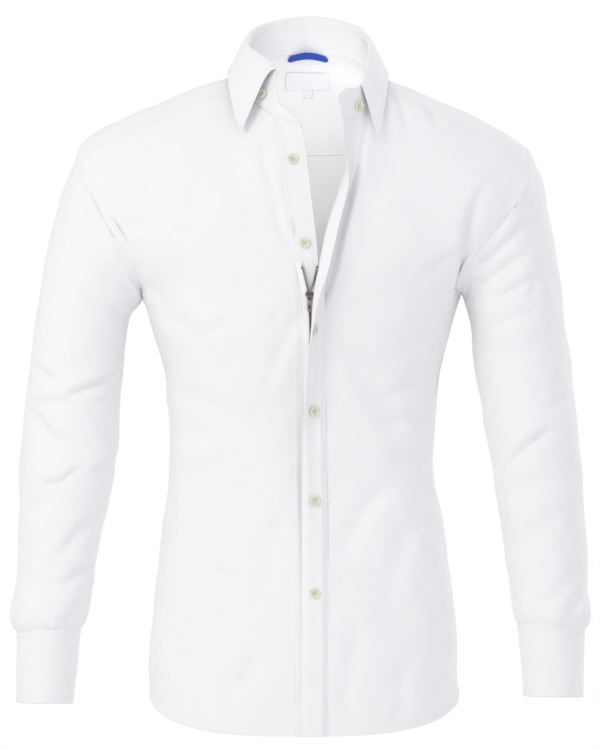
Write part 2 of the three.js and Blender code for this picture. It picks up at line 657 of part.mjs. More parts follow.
function placketPoint(distance, down) {
  const { inwards, forward } = curlTo(distance, leftInner.curl(down));
  const raised = smooth((down - PLACKET_LIFT_FROM) / (PLACKET_LIFT_TO - PLACKET_LIFT_FROM));
  const lift = PLACKET_LIFT * raised * smooth(distance / PLACKET_LIFT_RUN);
  const x = leftInner.out(down) - inwards;
  const spot = frontPoint(x, -down);
  spot.y -= forward + lift;
  return spot;
}

const placketGrid = [
  PLACKET_COLUMNS.map((distance) => (
    placketPoint(distance, LEFT_INNER[NECK_END].down + (PLACKET_TOP_DROP * distance) / PLACKET_WIDTH)
  )),
  ...PLACKET_ROWS.map((down) => PLACKET_COLUMNS.map((distance) => placketPoint(distance, down))),
  PLACKET_COLUMNS.map((distance) => placketPoint(distance, -frontHem(leftInner.out(SIDE_HEM) - distance))),
];

// ---------------------------------------------------------------- sleeves and cuffs
// The seam round an armhole, from the yoke's front corner down the front, up the back
// and over the yoke, taken from the panels' points or from their outward ways.
function armholeLoop(side, front, back, yoke) {
  const frontEnd = front[0].length - 1;
  const backEnd = side === LEFT ? back[0].length - 1 : 0;
  const yokeEnd = side === LEFT ? yoke[0].length - 1 : 0;
  const down = front.slice(0, ARMPIT_ROW + 1).map((row) => row[frontEnd]);
  const up = back.slice(0, BACK_ARMPIT_ROW).map((row) => row[backEnd]).reverse();
  const over = yoke.slice(1, -1).map((row) => row[yokeEnd]).reverse();
  return [...down, ...up, ...over].map((spot) => spot.clone());
}

function armholeWays(side) {
  const front = side === LEFT ? reversed(outwards(reversed(frontLeftGrid))) : outwards(frontRightGrid);
  return armholeLoop(side, front, outwards(backGrid), outwards(yokeGrid));
}

// Angle of each loop point round the sleeve: 0 at the top, half a turn at the armpit.
function loopAngles(loop) {
  const count = loop.length;
  const top = loop.reduce((best, spot, i) => (spot.z > loop[best].z ? i : best), 0);
  const lengths = [0];
  for (let i = 1; i <= count; i += 1) {
    const here = loop[(top + i) % count];
    lengths.push(lengths[i - 1] + here.distanceTo(loop[(top + i - 1) % count]));
  }
  const pit = (ARMPIT_ROW - top + count) % count;
  const angles = new Array(count);
  for (let i = 0; i < count; i += 1) {
    const before = lengths[i] / lengths[pit];
    const after = (lengths[i] - lengths[pit]) / (lengths[count] - lengths[pit]);
    angles[(top + i) % count] = Math.PI * (i <= pit ? before : 1 + after);
  }
  return angles;
}

// How deep the sleeve's folds are at a place and an angle.
function foldDepth(side, place, angle) {
  const turn = THREE.MathUtils.radToDeg(angle);
  const depths = SLEEVE_FOLDS.filter((fold) => fold.side === side).map((fold) => {
    const off = ((turn - fold.turn + 540) % 360) - 180;
    const across = (place - fold.place - (fold.slant * off) / 90) / fold.width;
    return fold.depth * Math.exp(-(across ** 2)) * (1 - smooth(Math.abs(off) / fold.reach));
  });
  return depths.reduce((sum, depth) => sum + depth, 0);
}

function oval(side, ring, angle) {
  const inner = point(side * ring.innerOut, -ring.forward, -ring.innerDown);
  const outer = point(side * ring.outerOut, -ring.forward, -ring.outerDown);
  const reach = outer.clone().sub(inner).multiplyScalar(0.5);
  const spot = inner.add(outer).multiplyScalar(0.5).addScaledVector(reach, Math.cos(angle));
  spot.y -= (ring.depth / 2) * Math.sin(angle);
  return spot;
}

function ringTable(side) {
  const table = side === LEFT ? SLEEVE_LEFT : SLEEVE_RIGHT;
  return table.map((row, i) => ({ ...row, ...SLEEVE_DEPTH[i] }));
}

// The sleeve's ring at a place between the table's rows.
const RING_NAMES = ['innerOut', 'innerDown', 'outerOut', 'outerDown', 'depth', 'forward', 'blend'];
const ringAt = Object.fromEntries([LEFT, RIGHT].map((side) => {
  const at = columns(ringTable(side), 'ring', ...RING_NAMES);
  return [side, (place) => Object.fromEntries(RING_NAMES.map((name) => [name, at[name](place)]))];
}));

function sleeveGrid(side) {
  const loop = armholeLoop(side, side === LEFT ? frontLeftGrid : frontRightGrid, backGrid, yokeGrid);
  const angles = loopAngles(loop);
  const first = ringAt[side](1);
  const shifts = loop.map((spot, i) => oval(side, first, angles[i]).sub(spot));
  const rings = SLEEVE_PLACES.map((place) => {
    const ring = ringAt[side](place);
    return angles.map((angle, i) => {
      const blended = loop[i].clone().addScaledVector(shifts[i], ring.blend);
      return place === 1 ? blended : oval(side, ring, angle);
    });
  });
  const grid = side === LEFT ? [loop, ...rings] : reversed([loop, ...rings]);
  const turns = side === LEFT ? angles : [...angles].reverse();
  const normals = outwards(grid, true);
  return grid.map((row, r) => row.map((spot, c) => {
    const depth = r === 0 ? 0 : foldDepth(side, SLEEVE_PLACES[r - 1], turns[c]);
    return spot.clone().addScaledVector(normals[r][c], -depth);
  }));
}

// A cuff starts at its inner end and runs once round, past itself on the outside.
function cuffGrid(side) {
  const top = ringTable(side).at(-1);
  const foot = { ...CUFF_ENDS[side], depth: CUFF_DEPTH, forward: CUFF_FORWARD };
  const turns = steps(26, 0, 360 + CUFF_OVERLAP);
  const grid = steps(2).map((v) => {
    const ring = Object.fromEntries(Object.keys(foot).map((name) => [name, mix(top[name], foot[name], v)]));
    return turns.map((turn) => oval(side, ring, radians(turn + 360 - CUFF_OVERLAP_AT)));
  });
  if (side === RIGHT) grid.forEach((row) => row.reverse());
  const normals = outwards(grid, false);
  return grid.map((row, r) => row.map((spot, c) => {
    const turn = side === RIGHT ? turns[turns.length - 1 - c] : turns[c];
    const proud = CUFF_STEP * smooth((turn - (360 - CUFF_RAMP)) / CUFF_RAMP);
    return spot.clone().addScaledVector(normals[r][c], proud);
  }));
}

function slitGrid(side) {
  const middle = 360 - CUFF_OVERLAP_AT + CUFF_OVERLAP / 2;
  const grid = steps(6, ...SLIT_RINGS).map((place) => (
    steps(3, -SLIT_WIDTH / 2, SLIT_WIDTH / 2).map((turn) => (
      oval(side, ringAt[side](place), radians(middle + turn))
    ))
  ));
  return moved(side === LEFT ? grid : reversed(grid), TRIM + SLIT_GAP);
}

// ---------------------------------------------------------------- collar
// The neck seam, from the band's front corner round the neck to the placket's free edge,
// as straight stretches between the points of the panels.
function neckSeam() {
  const neckRow = 2; // the row of a front at which its neck seam ends
  const band = bandGrid[0].slice(0, -1);
  const right = frontRightGrid.slice(1, neckRow + 1).map((row) => row[0]).reverse();
  const middle = yokeGrid[0].filter((_, c) => Math.abs(BACK_COLUMNS[c]) <= NECK_SHARE + 1e-6);
  const left = frontLeftGrid.slice(1, neckRow + 1).map((row) => row[0]);
  const placket = placketGrid[0].slice(1);
  const seam = [...band, ...right, ...middle, ...left, ...placket];
  const path = new THREE.CurvePath();
  seam.slice(1).forEach((spot, i) => path.add(new THREE.LineCurve3(seam[i], spot)));
  return path;
}
const neck = neckSeam();
const stand = columns(STAND, 'share', 'x', 'y', 'z');
const leaf = columns(LEAF, 'share', 'x', 'y', 'z', 'bow');

function standPoint(share, rise) {
  const foot = neck.getPointAt(clamp(share, 0, 1));
  const top = point(stand.x(share), stand.y(share), stand.z(share));
  return foot.lerp(top, rise);
}

function leafPoint(share, fall) {
  const { inset, above, over, rise, part, out } = LEAF_TURN;
  const top = standPoint(share, 1);
  const edge = point(leaf.x(share), leaf.y(share), leaf.z(share));
  const away = point(edge.x - top.x, edge.y - top.y, 0).normalize();
  const bow = leaf.bow(share);
  const start = top.clone().addScaledVector(away, -inset).add(point(0, 0, above));
  const crown = top.clone().addScaledVector(away, over * bow).add(point(0, 0, above + rise));
  const flank = top.clone().lerp(edge, part).addScaledVector(away, out * bow);
  return new THREE.CubicBezierCurve3(start, crown, flank, edge).getPoint(fall);
}

const standGrid = steps(3).map((v) => steps(STAND_COLUMNS).map((u) => standPoint(u, 1 - v)));
const leafGrid = [0, 0.1, 0.22, 0.4, 0.65, 1].map((fall) => (
  steps(LEAF_COLUMNS).map((u) => leafPoint(mix(LEAF[0].share, LEAF.at(-1).share, u), fall))
));

// ---------------------------------------------------------------- zip
const zip = columns(ZIP, 'down', 'right', 'left', 'parted');

// A point at a height above the outside of the right front.
function offFront(x, down, level) {
  const spot = frontPoint(x, -down);
  spot.y -= level;
  return spot;
}

function outwardOf(surface, u, v, du, dv) {
  const across = surface(u + du, v).sub(surface(u - du, v));
  const along = surface(u, v + dv).sub(surface(u, v - dv));
  return across.cross(along).normalize();
}

function underPlacket(distance, down) {
  const outward = outwardOf(placketPoint, distance, down, 1, 1);
  return placketPoint(distance, down).addScaledVector(outward, -UNDER_PLACKET);
}

const CHAIN_ROWS = [CHAIN_TOP, 209, 214, 219, 225, 229, 231.5, 234, 238, 246, 260,
  ...LOWER_ROWS.slice(0, -1), CHAIN_FOOT];
const TAPE_ROWS = [TAPE_TOP, 203, 209, 214, 221, 227, 231.5, 238, 246, 254, 264, ...LOWER_ROWS];

function chainRightGrid() {
  return CHAIN_ROWS.map((down) => [0.5, -0.5].map((share) => (
    offFront(zip.right(down) + share * CHAIN_WIDTH, down, CHAIN_LEVEL + CHAIN_THICK / 2)
  )));
}

function chainLeftSpot(share, down) {
  const flat = offFront(zip.left(down) + share * CHAIN_WIDTH, down, CHAIN_LEVEL + CHAIN_THICK / 2);
  const rolled = underPlacket(mix(CHAIN_REACH[1], CHAIN_REACH[0], share + 0.5), down);
  return flat.lerp(rolled, zip.parted(down));
}

function tapeRightGrid() {
  return TAPE_ROWS.map((down) => {
    const inner = zip.right(down) - CHAIN_WIDTH / 2 - TAPE_GAP;
    const near = offFront(inner, down, CHAIN_LEVEL + TRIM / 2);
    const far = offFront(inner - TAPE_WIDTH, down, TAPE_OUTER_LEVEL + TRIM / 2);
    return [near, far];
  });
}

// The left tape reaches from its chain to the seam of the placket, below it.
function tapeLeftGrid() {
  const farLevel = PLACKET_LIFT * smooth(TAPE_INSET / PLACKET_LIFT_RUN) - UNDER_PLACKET;
  return TAPE_ROWS.map((down) => {
    const nearX = zip.left(down) + CHAIN_WIDTH / 2 + TAPE_GAP;
    const farX = leftInner.out(down) - TAPE_INSET;
    return steps(3).map((share) => {
      const x = mix(farX, nearX, share);
      const flat = offFront(x, down, mix(farLevel, CHAIN_LEVEL + TRIM / 2, share));
      const rolled = underPlacket(mix(TAPE_INSET, TAPE_REACH, share), down);
      return flat.lerp(rolled, zip.parted(down));
    });
  });
}

function closedShape(corners) {
  return new THREE.Shape(corners.map(([x, y]) => new THREE.Vector2(x, y)));
}

function extruded(shape, depth) {
  return new THREE.ExtrudeGeometry(shape, { depth, bevelEnabled: false, curveSegments: 8 });
}

// The slider is drawn facing +Z and then stood up to face -Y: two plates that narrow
// below, the post between them and the bridge on the front one.
function sliderGeometry() {
  const { height, plate, room } = SLIDER;
  const [half, waist, end] = [SLIDER.width / 2, SLIDER.waist / 2, height / 2];
  const outline = closedShape([
    [-half, 0],
    [-waist, -end],
    [waist, -end],
    [half, 0],
    [half, end],
    [-half, end],
  ]);
  const wedge = closedShape([
    [-POST.foot / 2, end - POST.length],
    [POST.foot / 2, end - POST.length],
    [POST.top / 2, end],
    [-POST.top / 2, end],
  ]);
  const { half: span, rise, bar } = BRIDGE;
  const arch = closedShape([
    [-span - bar, 0],
    [-span, 0],
    [-span + bar, rise - bar],
    [span - bar, rise - bar],
    [span, 0],
    [span + bar, 0],
    [span, rise],
    [-span, rise],
  ]);
  const back = toSolid(extruded(outline, plate));
  const front = toSolid(extruded(outline, plate).translate(0, 0, plate + room));
  const post = toSolid(extruded(wedge, 2 * plate + room));
  const bridge = extruded(arch, BRIDGE.width).translate(0, 0, -BRIDGE.width / 2);
  bridge.rotateY(Math.PI / 2).rotateX(Math.PI / 2).translate(0, 0, 2 * plate + room - BRIDGE.sunk);
  return toGeometry(back.add(front).add(post).add(toSolid(bridge))).rotateX(Math.PI / 2);
}

const sliderBack = offFront(SLIDER.x, SLIDER.down, SEAM_GAP);
const sliderFace = sliderBack.y - 2 * SLIDER.plate - SLIDER.room;
const hinge = point(SLIDER.x, sliderFace - HINGE_OFF, -SLIDER.down);

// The pull hangs from its top bar, which lies below the slider's bridge.
function pullGeometry() {
  const { width, neck, length, thick, bar } = PULL;
  const half = width / 2;
  const shape = new THREE.Shape();
  shape.moveTo(-neck / 2, bar / 2);
  shape.lineTo(neck / 2, bar / 2);
  shape.lineTo(neck / 2, -PULL_FLARE.from);
  shape.lineTo(half, -PULL_FLARE.to);
  shape.lineTo(half, -length + half);
  shape.absarc(0, -length + half, half, 0, -Math.PI, true);
  shape.lineTo(-half, -PULL_FLARE.to);
  shape.lineTo(-neck / 2, -PULL_FLARE.from);
  shape.closePath();
  const slotHalf = PULL_SLOT.width / 2;
  const slot = closedShape([
    [-slotHalf, -bar / 2],
    [-slotHalf, -PULL_SLOT.length],
    [slotHalf, -PULL_SLOT.length],
    [slotHalf, -bar / 2],
  ]);
  const eye = new THREE.Path();
  eye.absellipse(0, PULL_EYE.up - length, PULL_EYE.width / 2, PULL_EYE.length / 2, 0, Math.PI * 2, false, 0);
  shape.holes.push(slot, eye);
  return extruded(shape, thick).translate(0, 0, -thick / 2).rotateX(Math.PI / 2);
}

function blockAt(spot, size) {
  const block = new THREE.BoxGeometry(size.width, size.thick, size.height);
  return block.translate(spot.x, spot.y, spot.z);
}

// ---------------------------------------------------------------- buttons
function buttonGeometry() {
  const { thick, hole, spread, sides } = BUTTON;
  const section = BUTTON_SECTION.map(({ out, up }) => new THREE.Vector2(out, up));
  let body = toSolid(new THREE.LatheGeometry(section, sides));
  for (const [x, z] of [[1, 1], [1, -1], [-1, -1], [-1, 1]]) {
    const drill = new THREE.CylinderGeometry(hole, hole, 2 * thick, 6);
    drill.translate(x * spread, thick / 2, z * spread);
    body = body.subtract(toSolid(drill));
  }
  return toGeometry(body);
}

// Buttons are drawn standing on +Y, so they turn from +Y to the cloth's outward way.
function buttonOn(spot, outward, gap = BUTTON.gap) {
  const turn = new THREE.Quaternion().setFromUnitVectors(point(0, 1, 0), outward);
  return { turn, place: spot.clone().addScaledVector(outward, gap) };
}

// ---------------------------------------------------------------- the shirt
const shirt = new THREE.Group();

function add(name, geometry, material) {
  const mesh = new THREE.Mesh(geometry, material());
  mesh.name = name;
  shirt.add(mesh);
  return mesh;
}

const yokeRoom = (grid) => drawnBack(grid, ['top'], YOKE_GAP);
add('front_right', wall(drawnBack(yokeRoom(frontRightGrid), ['start', 'end'])), cloth);
add('front_left', wall(drawnBack(yokeRoom(reversed(frontLeftGrid)), ['start', 'end'])), cloth);
const backWays = outwards(backGrid)[0];
add('back', wall(drawnBack(backGrid, ['top', 'start', 'end']), { topWays: backWays }), cloth);
add('yoke', wall(drawnBack(yokeGrid, ['top', 'foot', 'start', 'end']), { footWays: backWays }), cloth);
add('button_band', wall(drawnBack(bandGrid, ['top', 'end'], SEAM_GAP - 0.05)), cloth);
add('placket', wall(drawnBack(placketGrid, ['top', 'start'], SEAM_GAP - 0.05)), cloth);

for (const [side, word] of [[RIGHT, 'right'], [LEFT, 'left']]) {
  const ways = side === LEFT ? armholeWays(side) : armholeWays(side).reverse();
  const sleeve = drawnBack(drawnBack(sleeveGrid(side), ['top'], SLEEVE_GAP), ['foot']);
  add(`sleeve_${word}`, wall(sleeve, { ring: true, topWays: ways }), cloth);
  add(`cuff_${word}`, wall(drawnBack(cuffGrid(side), ['top'])), cloth);
  add(`slit_strip_${word}`, wall(slitGrid(side), { thickness: TRIM }), cloth);
}

add('collar_stand', wall(drawnBack(standGrid, ['foot'], STAND_GAP)), cloth);
add('collar_leaf', wall(leafGrid), cloth);

add('zip_tape_right', wall(tapeRightGrid(), { thickness: TRIM }), tapeCloth);
add('zip_tape_left', wall(tapeLeftGrid(), { thickness: TRIM }), tapeCloth);
add('zip_chain_right', wall(chainRightGrid(), { thickness: CHAIN_THICK }), darkMetal);
const chainLeftGrid = CHAIN_ROWS.map((down) => [0.5, -0.5].map((share) => chainLeftSpot(share, down)));
add('zip_chain_left', wall(chainLeftGrid, { thickness: CHAIN_THICK }), darkMetal);
const slider = add('zip_slider', sliderGeometry(), darkMetal);
slider.position.copy(sliderBack);
const pull = add('zip_pull', pullGeometry(), pullMetal);
pull.position.copy(hinge);
const topStop = CHAIN_TOP - SEAM_GAP - STOP.height / 2;
const leftStop = chainLeftSpot(0, topStop);
leftStop.addScaledVector(outwardOf(chainLeftSpot, 0, topStop, -0.5, 1), -CHAIN_THICK / 2);
add('zip_stop_right', blockAt(offFront(zip.right(topStop), topStop, CHAIN_LEVEL), STOP), darkMetal);
add('zip_stop_left', blockAt(leftStop, STOP), darkMetal);
const footStop = CHAIN_FOOT + SEAM_GAP + FOOT_STOP.height / 2;
const footMiddle = (zip.right(footStop) + zip.left(footStop)) / 2;
add('zip_stop_foot', blockAt(offFront(footMiddle, footStop, CHAIN_LEVEL), FOOT_STOP), darkMetal);

function addButton(name, { turn, place }) {
  const mesh = add(name, buttonGeometry(), pearl);
  mesh.position.copy(place);
  mesh.quaternion.copy(turn);
}

for (const [name, { x, down }] of Object.entries(BAND_BUTTONS)) {
  const outward = outwardOf((a, b) => frontPoint(a, b), x, -down, -1, -1);
  addButton(name, buttonOn(frontPoint(x, -down), outward));
}
for (const [name, { down, shank }] of Object.entries(PLACKET_BUTTONS)) {
  const middle = PLACKET_WIDTH / 2;
  const outward = outwardOf(placketPoint, middle, down, 1, 1);
  addButton(name, buttonOn(placketPoint(middle, down), outward, shank));
}
for (const [name, { share, rise }] of Object.entries(STAND_BUTTONS)) {
  const outward = outwardOf(standPoint, share, rise, 0.01, -0.1);
  addButton(name, buttonOn(standPoint(share, rise), outward, STAND_SHANK));
}
for (const [side, word] of [[RIGHT, 'right'], [LEFT, 'left']]) {
  const grid = cuffGrid(side);
  const c = side === LEFT ? grid[0].length - 2 : 1;
  const spot = grid[1][c].clone().lerp(grid[2][c], 0.5);
  addButton(`button_cuff_${word}`, buttonOn(spot, outwards(grid, false)[1][c]));
}

// ---------------------------------------------------------------- loop, label and size tab
// Trims inside the back of the neck face the neck, so their grids run the other way.
function insideYoke(half, topAt, footAt, across = 6) {
  return steps(2).map((v) => steps(across, half, -half).map((x) => (
    backPoint(x, mix(topAt(x), footAt(x), v))
  )));
}

function trim(name, grid, material) {
  const inside = moved(reversed(grid), -(CLOTH + TRIM_ROOM));
  add(name, wall(inside, { thickness: TRIM }), material);
}

const loopTop = (x) => LOOP.ends + (LOOP.top - LOOP.ends) * (1 - (x / LOOP.half) ** 2);
trim('hanger_loop', insideYoke(LOOP.half, loopTop, (x) => loopTop(x) - LOOP.width, 8), loopCloth);
trim('neck_label', insideYoke(LABEL.half, () => LABEL.top, () => LABEL.foot), labelCloth);
trim('size_tab', insideYoke(TAB.half, () => TAB.top, () => TAB.foot, 2), labelCloth);

export default shirt;
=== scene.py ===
"""A worn dress shirt with a zip hidden below its button placket, and a plain studio.

The front faces -Y and +X is the wearer's left. Tables and grids of points are in
millimetres; meshes are in metres. "down" is the distance below the origin at the neck,
"out" the distance from the middle.
"""
import json
import math
from functools import partial
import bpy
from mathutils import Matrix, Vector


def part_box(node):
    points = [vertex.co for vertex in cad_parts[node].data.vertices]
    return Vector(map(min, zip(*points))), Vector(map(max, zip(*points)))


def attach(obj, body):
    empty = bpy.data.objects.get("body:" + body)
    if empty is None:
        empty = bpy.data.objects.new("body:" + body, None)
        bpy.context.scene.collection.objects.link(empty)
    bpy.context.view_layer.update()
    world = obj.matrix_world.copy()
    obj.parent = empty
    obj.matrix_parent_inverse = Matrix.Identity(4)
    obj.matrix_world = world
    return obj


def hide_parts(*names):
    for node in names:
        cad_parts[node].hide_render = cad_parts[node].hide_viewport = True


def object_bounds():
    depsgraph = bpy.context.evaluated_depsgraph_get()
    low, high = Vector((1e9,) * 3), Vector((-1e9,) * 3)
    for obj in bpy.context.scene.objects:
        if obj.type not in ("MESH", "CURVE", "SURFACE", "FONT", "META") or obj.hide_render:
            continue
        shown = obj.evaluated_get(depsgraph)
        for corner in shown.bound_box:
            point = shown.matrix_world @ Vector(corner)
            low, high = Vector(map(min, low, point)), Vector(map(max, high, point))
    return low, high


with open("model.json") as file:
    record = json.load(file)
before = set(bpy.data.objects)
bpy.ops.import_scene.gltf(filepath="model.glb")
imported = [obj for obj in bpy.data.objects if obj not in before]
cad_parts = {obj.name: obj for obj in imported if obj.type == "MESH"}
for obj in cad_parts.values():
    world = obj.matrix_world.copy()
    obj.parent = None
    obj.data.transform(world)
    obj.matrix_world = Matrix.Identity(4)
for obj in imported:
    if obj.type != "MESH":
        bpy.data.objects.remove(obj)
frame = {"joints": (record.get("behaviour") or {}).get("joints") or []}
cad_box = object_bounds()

from types import SimpleNamespace

import bmesh
import bpy
import numpy as np
from bpy.props import FloatProperty, FloatVectorProperty, IntProperty, PointerProperty
from mathutils import Matrix, Vector

bl_info = {
    "name": "Zip-front Shirt",
    "version": (1, 0, 0),
    "blender": (4, 5, 0),
    "location": "3D View > Sidebar > Shirt",
    "description": "Builds a worn dress shirt with a hidden zip, and a plain studio",
    "category": "Add Mesh",
}

# ------------------------------------------------------------------ sizes
MM = 0.001
LEFT = 1  # the wearer's left is +X
RIGHT = -1
SIDES = ((RIGHT, "right"), (LEFT, "left"))
SHIRT_BODY = "shirt"
PULL_BODY = "zip_pull"

FLANK_POWER = 2.5  # how square the trunk is in plan
MIDDLE_SOFT = 14  # how far from the middle the shoulders' ridge rounds off
ARMPIT = 230  # down
SIDE_HEM = 663  # down, at the side seams
FRONT_TAIL = 43  # how much lower the middle of the front hem hangs
BACK_TAIL = 41
YOKE_FRONT_DROP = 18  # front seam of the yoke, below the shoulder ridge
YOKE_BACK = 80  # back seam of the yoke, down
SHOULDER_OUT = 241  # where the front yoke seam meets the armhole
NECK_OUT = 70  # where the front yoke seam meets the neck
# How much higher the right shoulder is than in the tables, and where: out and down.
SHOULDER_RISE = SimpleNamespace(height=5.4, out=(68, 120), ease=0.7, ease_out=(212, 252),
                                ends_down=(60, 160))
SHOULDER_WIDER = 2.2  # how much further out it reaches below that
SHOULDER_WIDER_AT = (-252, 30, 95, 36)  # as a hill
SHOULDER_ROUND = (5, 4)  # how far the left shoulder's corner moves in and down
SHOULDER_ROUND_AT = (238, 24, 72, 30)

# The studio, in metres: the middle of the view, and the floor with where it fades away.
VIEW_X, VIEW_Z = -0.0086, -0.3186
FLOOR_RADIUS = 4
FLOOR_FADE = (3.9, 1.6)


def table(names, *rows):
    """The columns of a table, by name."""
    return dict(zip(names.split(), np.array(rows, float).T))


# The trunk's girth: half width, middle, and depth before and behind the middle plane.
TRUNK = table(
    "down half middle front back",
    (0, 292, 0, 84, 88),
    (60, 290, 0, 94, 99),
    (103, 279, 0, 105, 110),
    (131, 262, -2, 110, 114),
    (163, 240, -5, 115, 116),
    (192, 212, -6, 117, 115),
    (215, 183, -7, 118, 113),
    (230, 172.8, -7, 118, 111),
    (270, 160, -7, 116, 104),
    (327, 146, -6, 106, 93),
    (380, 142, -6, 98, 85),
    (430, 144, -7, 95, 83),
    (482, 152, -5, 98, 89),
    (560, 161, -4, 106, 102),
    (611, 165.5, -4.5, 110, 108),
    (663, 167, -5, 112, 111),
)
# The shoulder ridge, and how round it turns towards the front and the back.
RIDGE = table(
    "out height front_round back_round",
    (0, 72, 160, 140),
    (40, 46, 160, 140),
    (72, 10, 160, 140),
    (84, 1, 156, 137),
    (110, -10, 145, 130),
    (135, -20, 132, 120),
    (190, -44, 107, 102),
    (226, -61, 94, 90),
    (250, -74, 88, 86),
)
# Outer edge of the front and back panels, down to the armpit.
ARMHOLE = table(
    "down out",
    (60, 236), (83, 240.6), (103, 240.2), (117, 236), (131, 229), (163, 207), (192, 186),
    (215, 175.5), (230, 172.8),
)
# The neck seam of the yoke, from the middle of the back to its front corner. "turn" is
# the angle over the shoulder in degrees, positive to the front.
YOKE_NECK = table(
    "share out turn",
    (0, 0, -44.4), (0.3, 30, -33.3), (0.55, 53, -20.7), (0.8, 69, -5), (1, 70, 27.4),
)
YOKE_NECK_SHARE = math.sin(math.pi * 5 / 24)  # of the yoke's half width, along its neck seam
# Inner edge of the right front: the neck seam, then the seam of its band.
RIGHT_INNER = table(
    "down out",
    (5.6, 70), (16, 65), (29, 52), (40, 37), (59, 32.5), (79, 30), (124, 25.5), (160, 21),
    (203, 17), (281, 14.5), (706, 13),
)
BAND_TOP = 40  # down, at its seam
BAND_TOP_DROP = 10  # at its front corner
BAND_WIDTH = table("down width", (40, 25), (59, 27), (90, 28.5), (706, 29))
# Inner edge of the left front: the neck seam, then the seam of its placket. "curl" is how
# far the placket has turned by its free edge, in degrees.
LEFT_INNER = table(
    "down out curl",
    (5.6, 70, 48),
    (16, 68, 48),
    (29, 64, 48),
    (43, 60.5, 50),
    (54, 58.5, 56),
    (75, 56, 74),
    (92, 53.5, 98),
    (120, 45, 136),
    (145, 36.5, 148),
    (174, 28.5, 152),
    (199, 23.3, 148),
    (221, 20.3, 132),
    (240, 18.5, 116),
    (253, 17.6, 108),
    (281, 16.4, 95),
    (306, 17.6, 74),
    (341, 18.9, 58),
    (378, 19.8, 40),
    (421, 20.6, 26),
    (464, 21.2, 14),
    (518, 21.5, 6),
    (706, 21.5, 0),
)
PLACKET_TOP = 43  # down, at its seam
PLACKET_TOP_DROP = 4
PLACKET_WIDTH = 28
PLACKET_CURL = (5, 19)  # from the seam, where the curl starts and ends
PLACKET_LIFT = 5  # room below the placket for the zip
PLACKET_LIFT_RUN = 7
PLACKET_SETTLE = (21, 28, 0.88)  # from and to which distance it drops again, and how far
PLACKET_LIFT_DOWN = (140, 200)
CURL_STEPS = 24
FRONT_NECK_PART = 0.05  # of a front's height, from the yoke seam to the end of its neck seam

# Sleeve rings from the armhole to the cuff: the point next to the body and the point on the
# outside, then the depth front to back and how far the arm has come forward.
SLEEVES = {
    RIGHT: table(
        "ring inner_out inner_down outer_out outer_down depth forward",
        (1, 181.4, 237.6, 246, 78, 140, 0),
        (2, 185.8, 246, 257, 104, 137, 0),
        (3, 191, 255, 270, 143, 134, 0),
        (4, 194.4, 270, 283, 190, 131, 0),
        (5, 196.6, 294, 291.6, 243, 128, 1),
        (6, 197.6, 319, 297, 294, 124, 3),
        (7, 201, 351, 303.5, 346, 120, 6),
        (8, 205, 394, 309, 394, 116, 9),
        (9, 208.4, 432, 312, 434, 112, 12),
        (10, 218, 477, 313, 477, 106, 16),
        (11, 229, 524, 314, 518, 99, 20),
        (12, 234, 553, 316, 553, 97, 23),
        (13, 238.7, 575, 319, 579, 98, 25),
        (14, 245, 590, 314.8, 596, 88, 26),
    ),
    LEFT: table(
        "ring inner_out inner_down outer_out outer_down depth forward",
        (1, 169.6, 237.6, 249, 88, 140, 0),
        (2, 172.8, 250.6, 258, 122, 137, 0),
        (3, 176, 264.6, 264.6, 164, 134, 0),
        (4, 178, 286, 271, 207, 131, 0),
        (5, 181.4, 309, 276.5, 250.6, 128, 1),
        (6, 184.7, 334.8, 283, 294, 124, 3),
        (7, 189, 368, 288.4, 343.4, 120, 6),
        (8, 194.4, 399.6, 293.8, 394, 116, 9),
        (9, 201, 434, 297, 437, 112, 12),
        (10, 207.4, 477, 299, 480.6, 106, 16),
        (11, 213.8, 520.6, 300, 524, 99, 20),
        (12, 219, 553, 300, 555, 97, 23),
        (13, 220.9, 570, 301.9, 576.7, 98, 25),
        (14, 225.7, 585.4, 298, 591.8, 88, 26),
    ),
}
SLEEVE_FIRST_BLEND = 0.62  # how far the first ring has left the armhole's shape
SLEEVE_LAST_RING = 14
UNDER_ARMHOLE = ((0.8, 0.45), (7, 1.8))  # inset and drop below the body's edge
CUFF_ENDS = {
    RIGHT: dict(inner_out=252.7, inner_down=672, outer_out=315, outer_down=671, depth=84, forward=31),
    LEFT: dict(inner_out=232, inner_down=664, outer_out=297, outer_down=665, depth=84, forward=31),
}
SLEEVE_HEAD = 1.5  # how far a sleeve rises beside its armhole's seam
SWELL = {RIGHT: 2.6, LEFT: 1.0}  # how full each sleeve is above its cuff
POUCH_TUCK = 0.15  # how far it then goes in at the cuff's seam
PLEATS, PLEAT_HEIGHT, PLEAT_SWING = 9, 1.3, 1.4  # round the sleeve, into its cuff
GATHERS, GATHER_HEIGHT = 23, 0.5  # smaller ones between them
CUFF_OVERLAP = 30  # degrees round the wrist
CUFF_OVERLAP_AT = 140  # degrees from the outside, towards the back
CUFF_STEP = 1.7  # the outer end stands this much proud
CUFF_RAMP = 28  # degrees before the overlap in which it rises
SLIT_WIDTH = 20  # degrees round the sleeve
SLIT_RINGS = (10.4, 13.6)
SLIT_RISE = 1.5

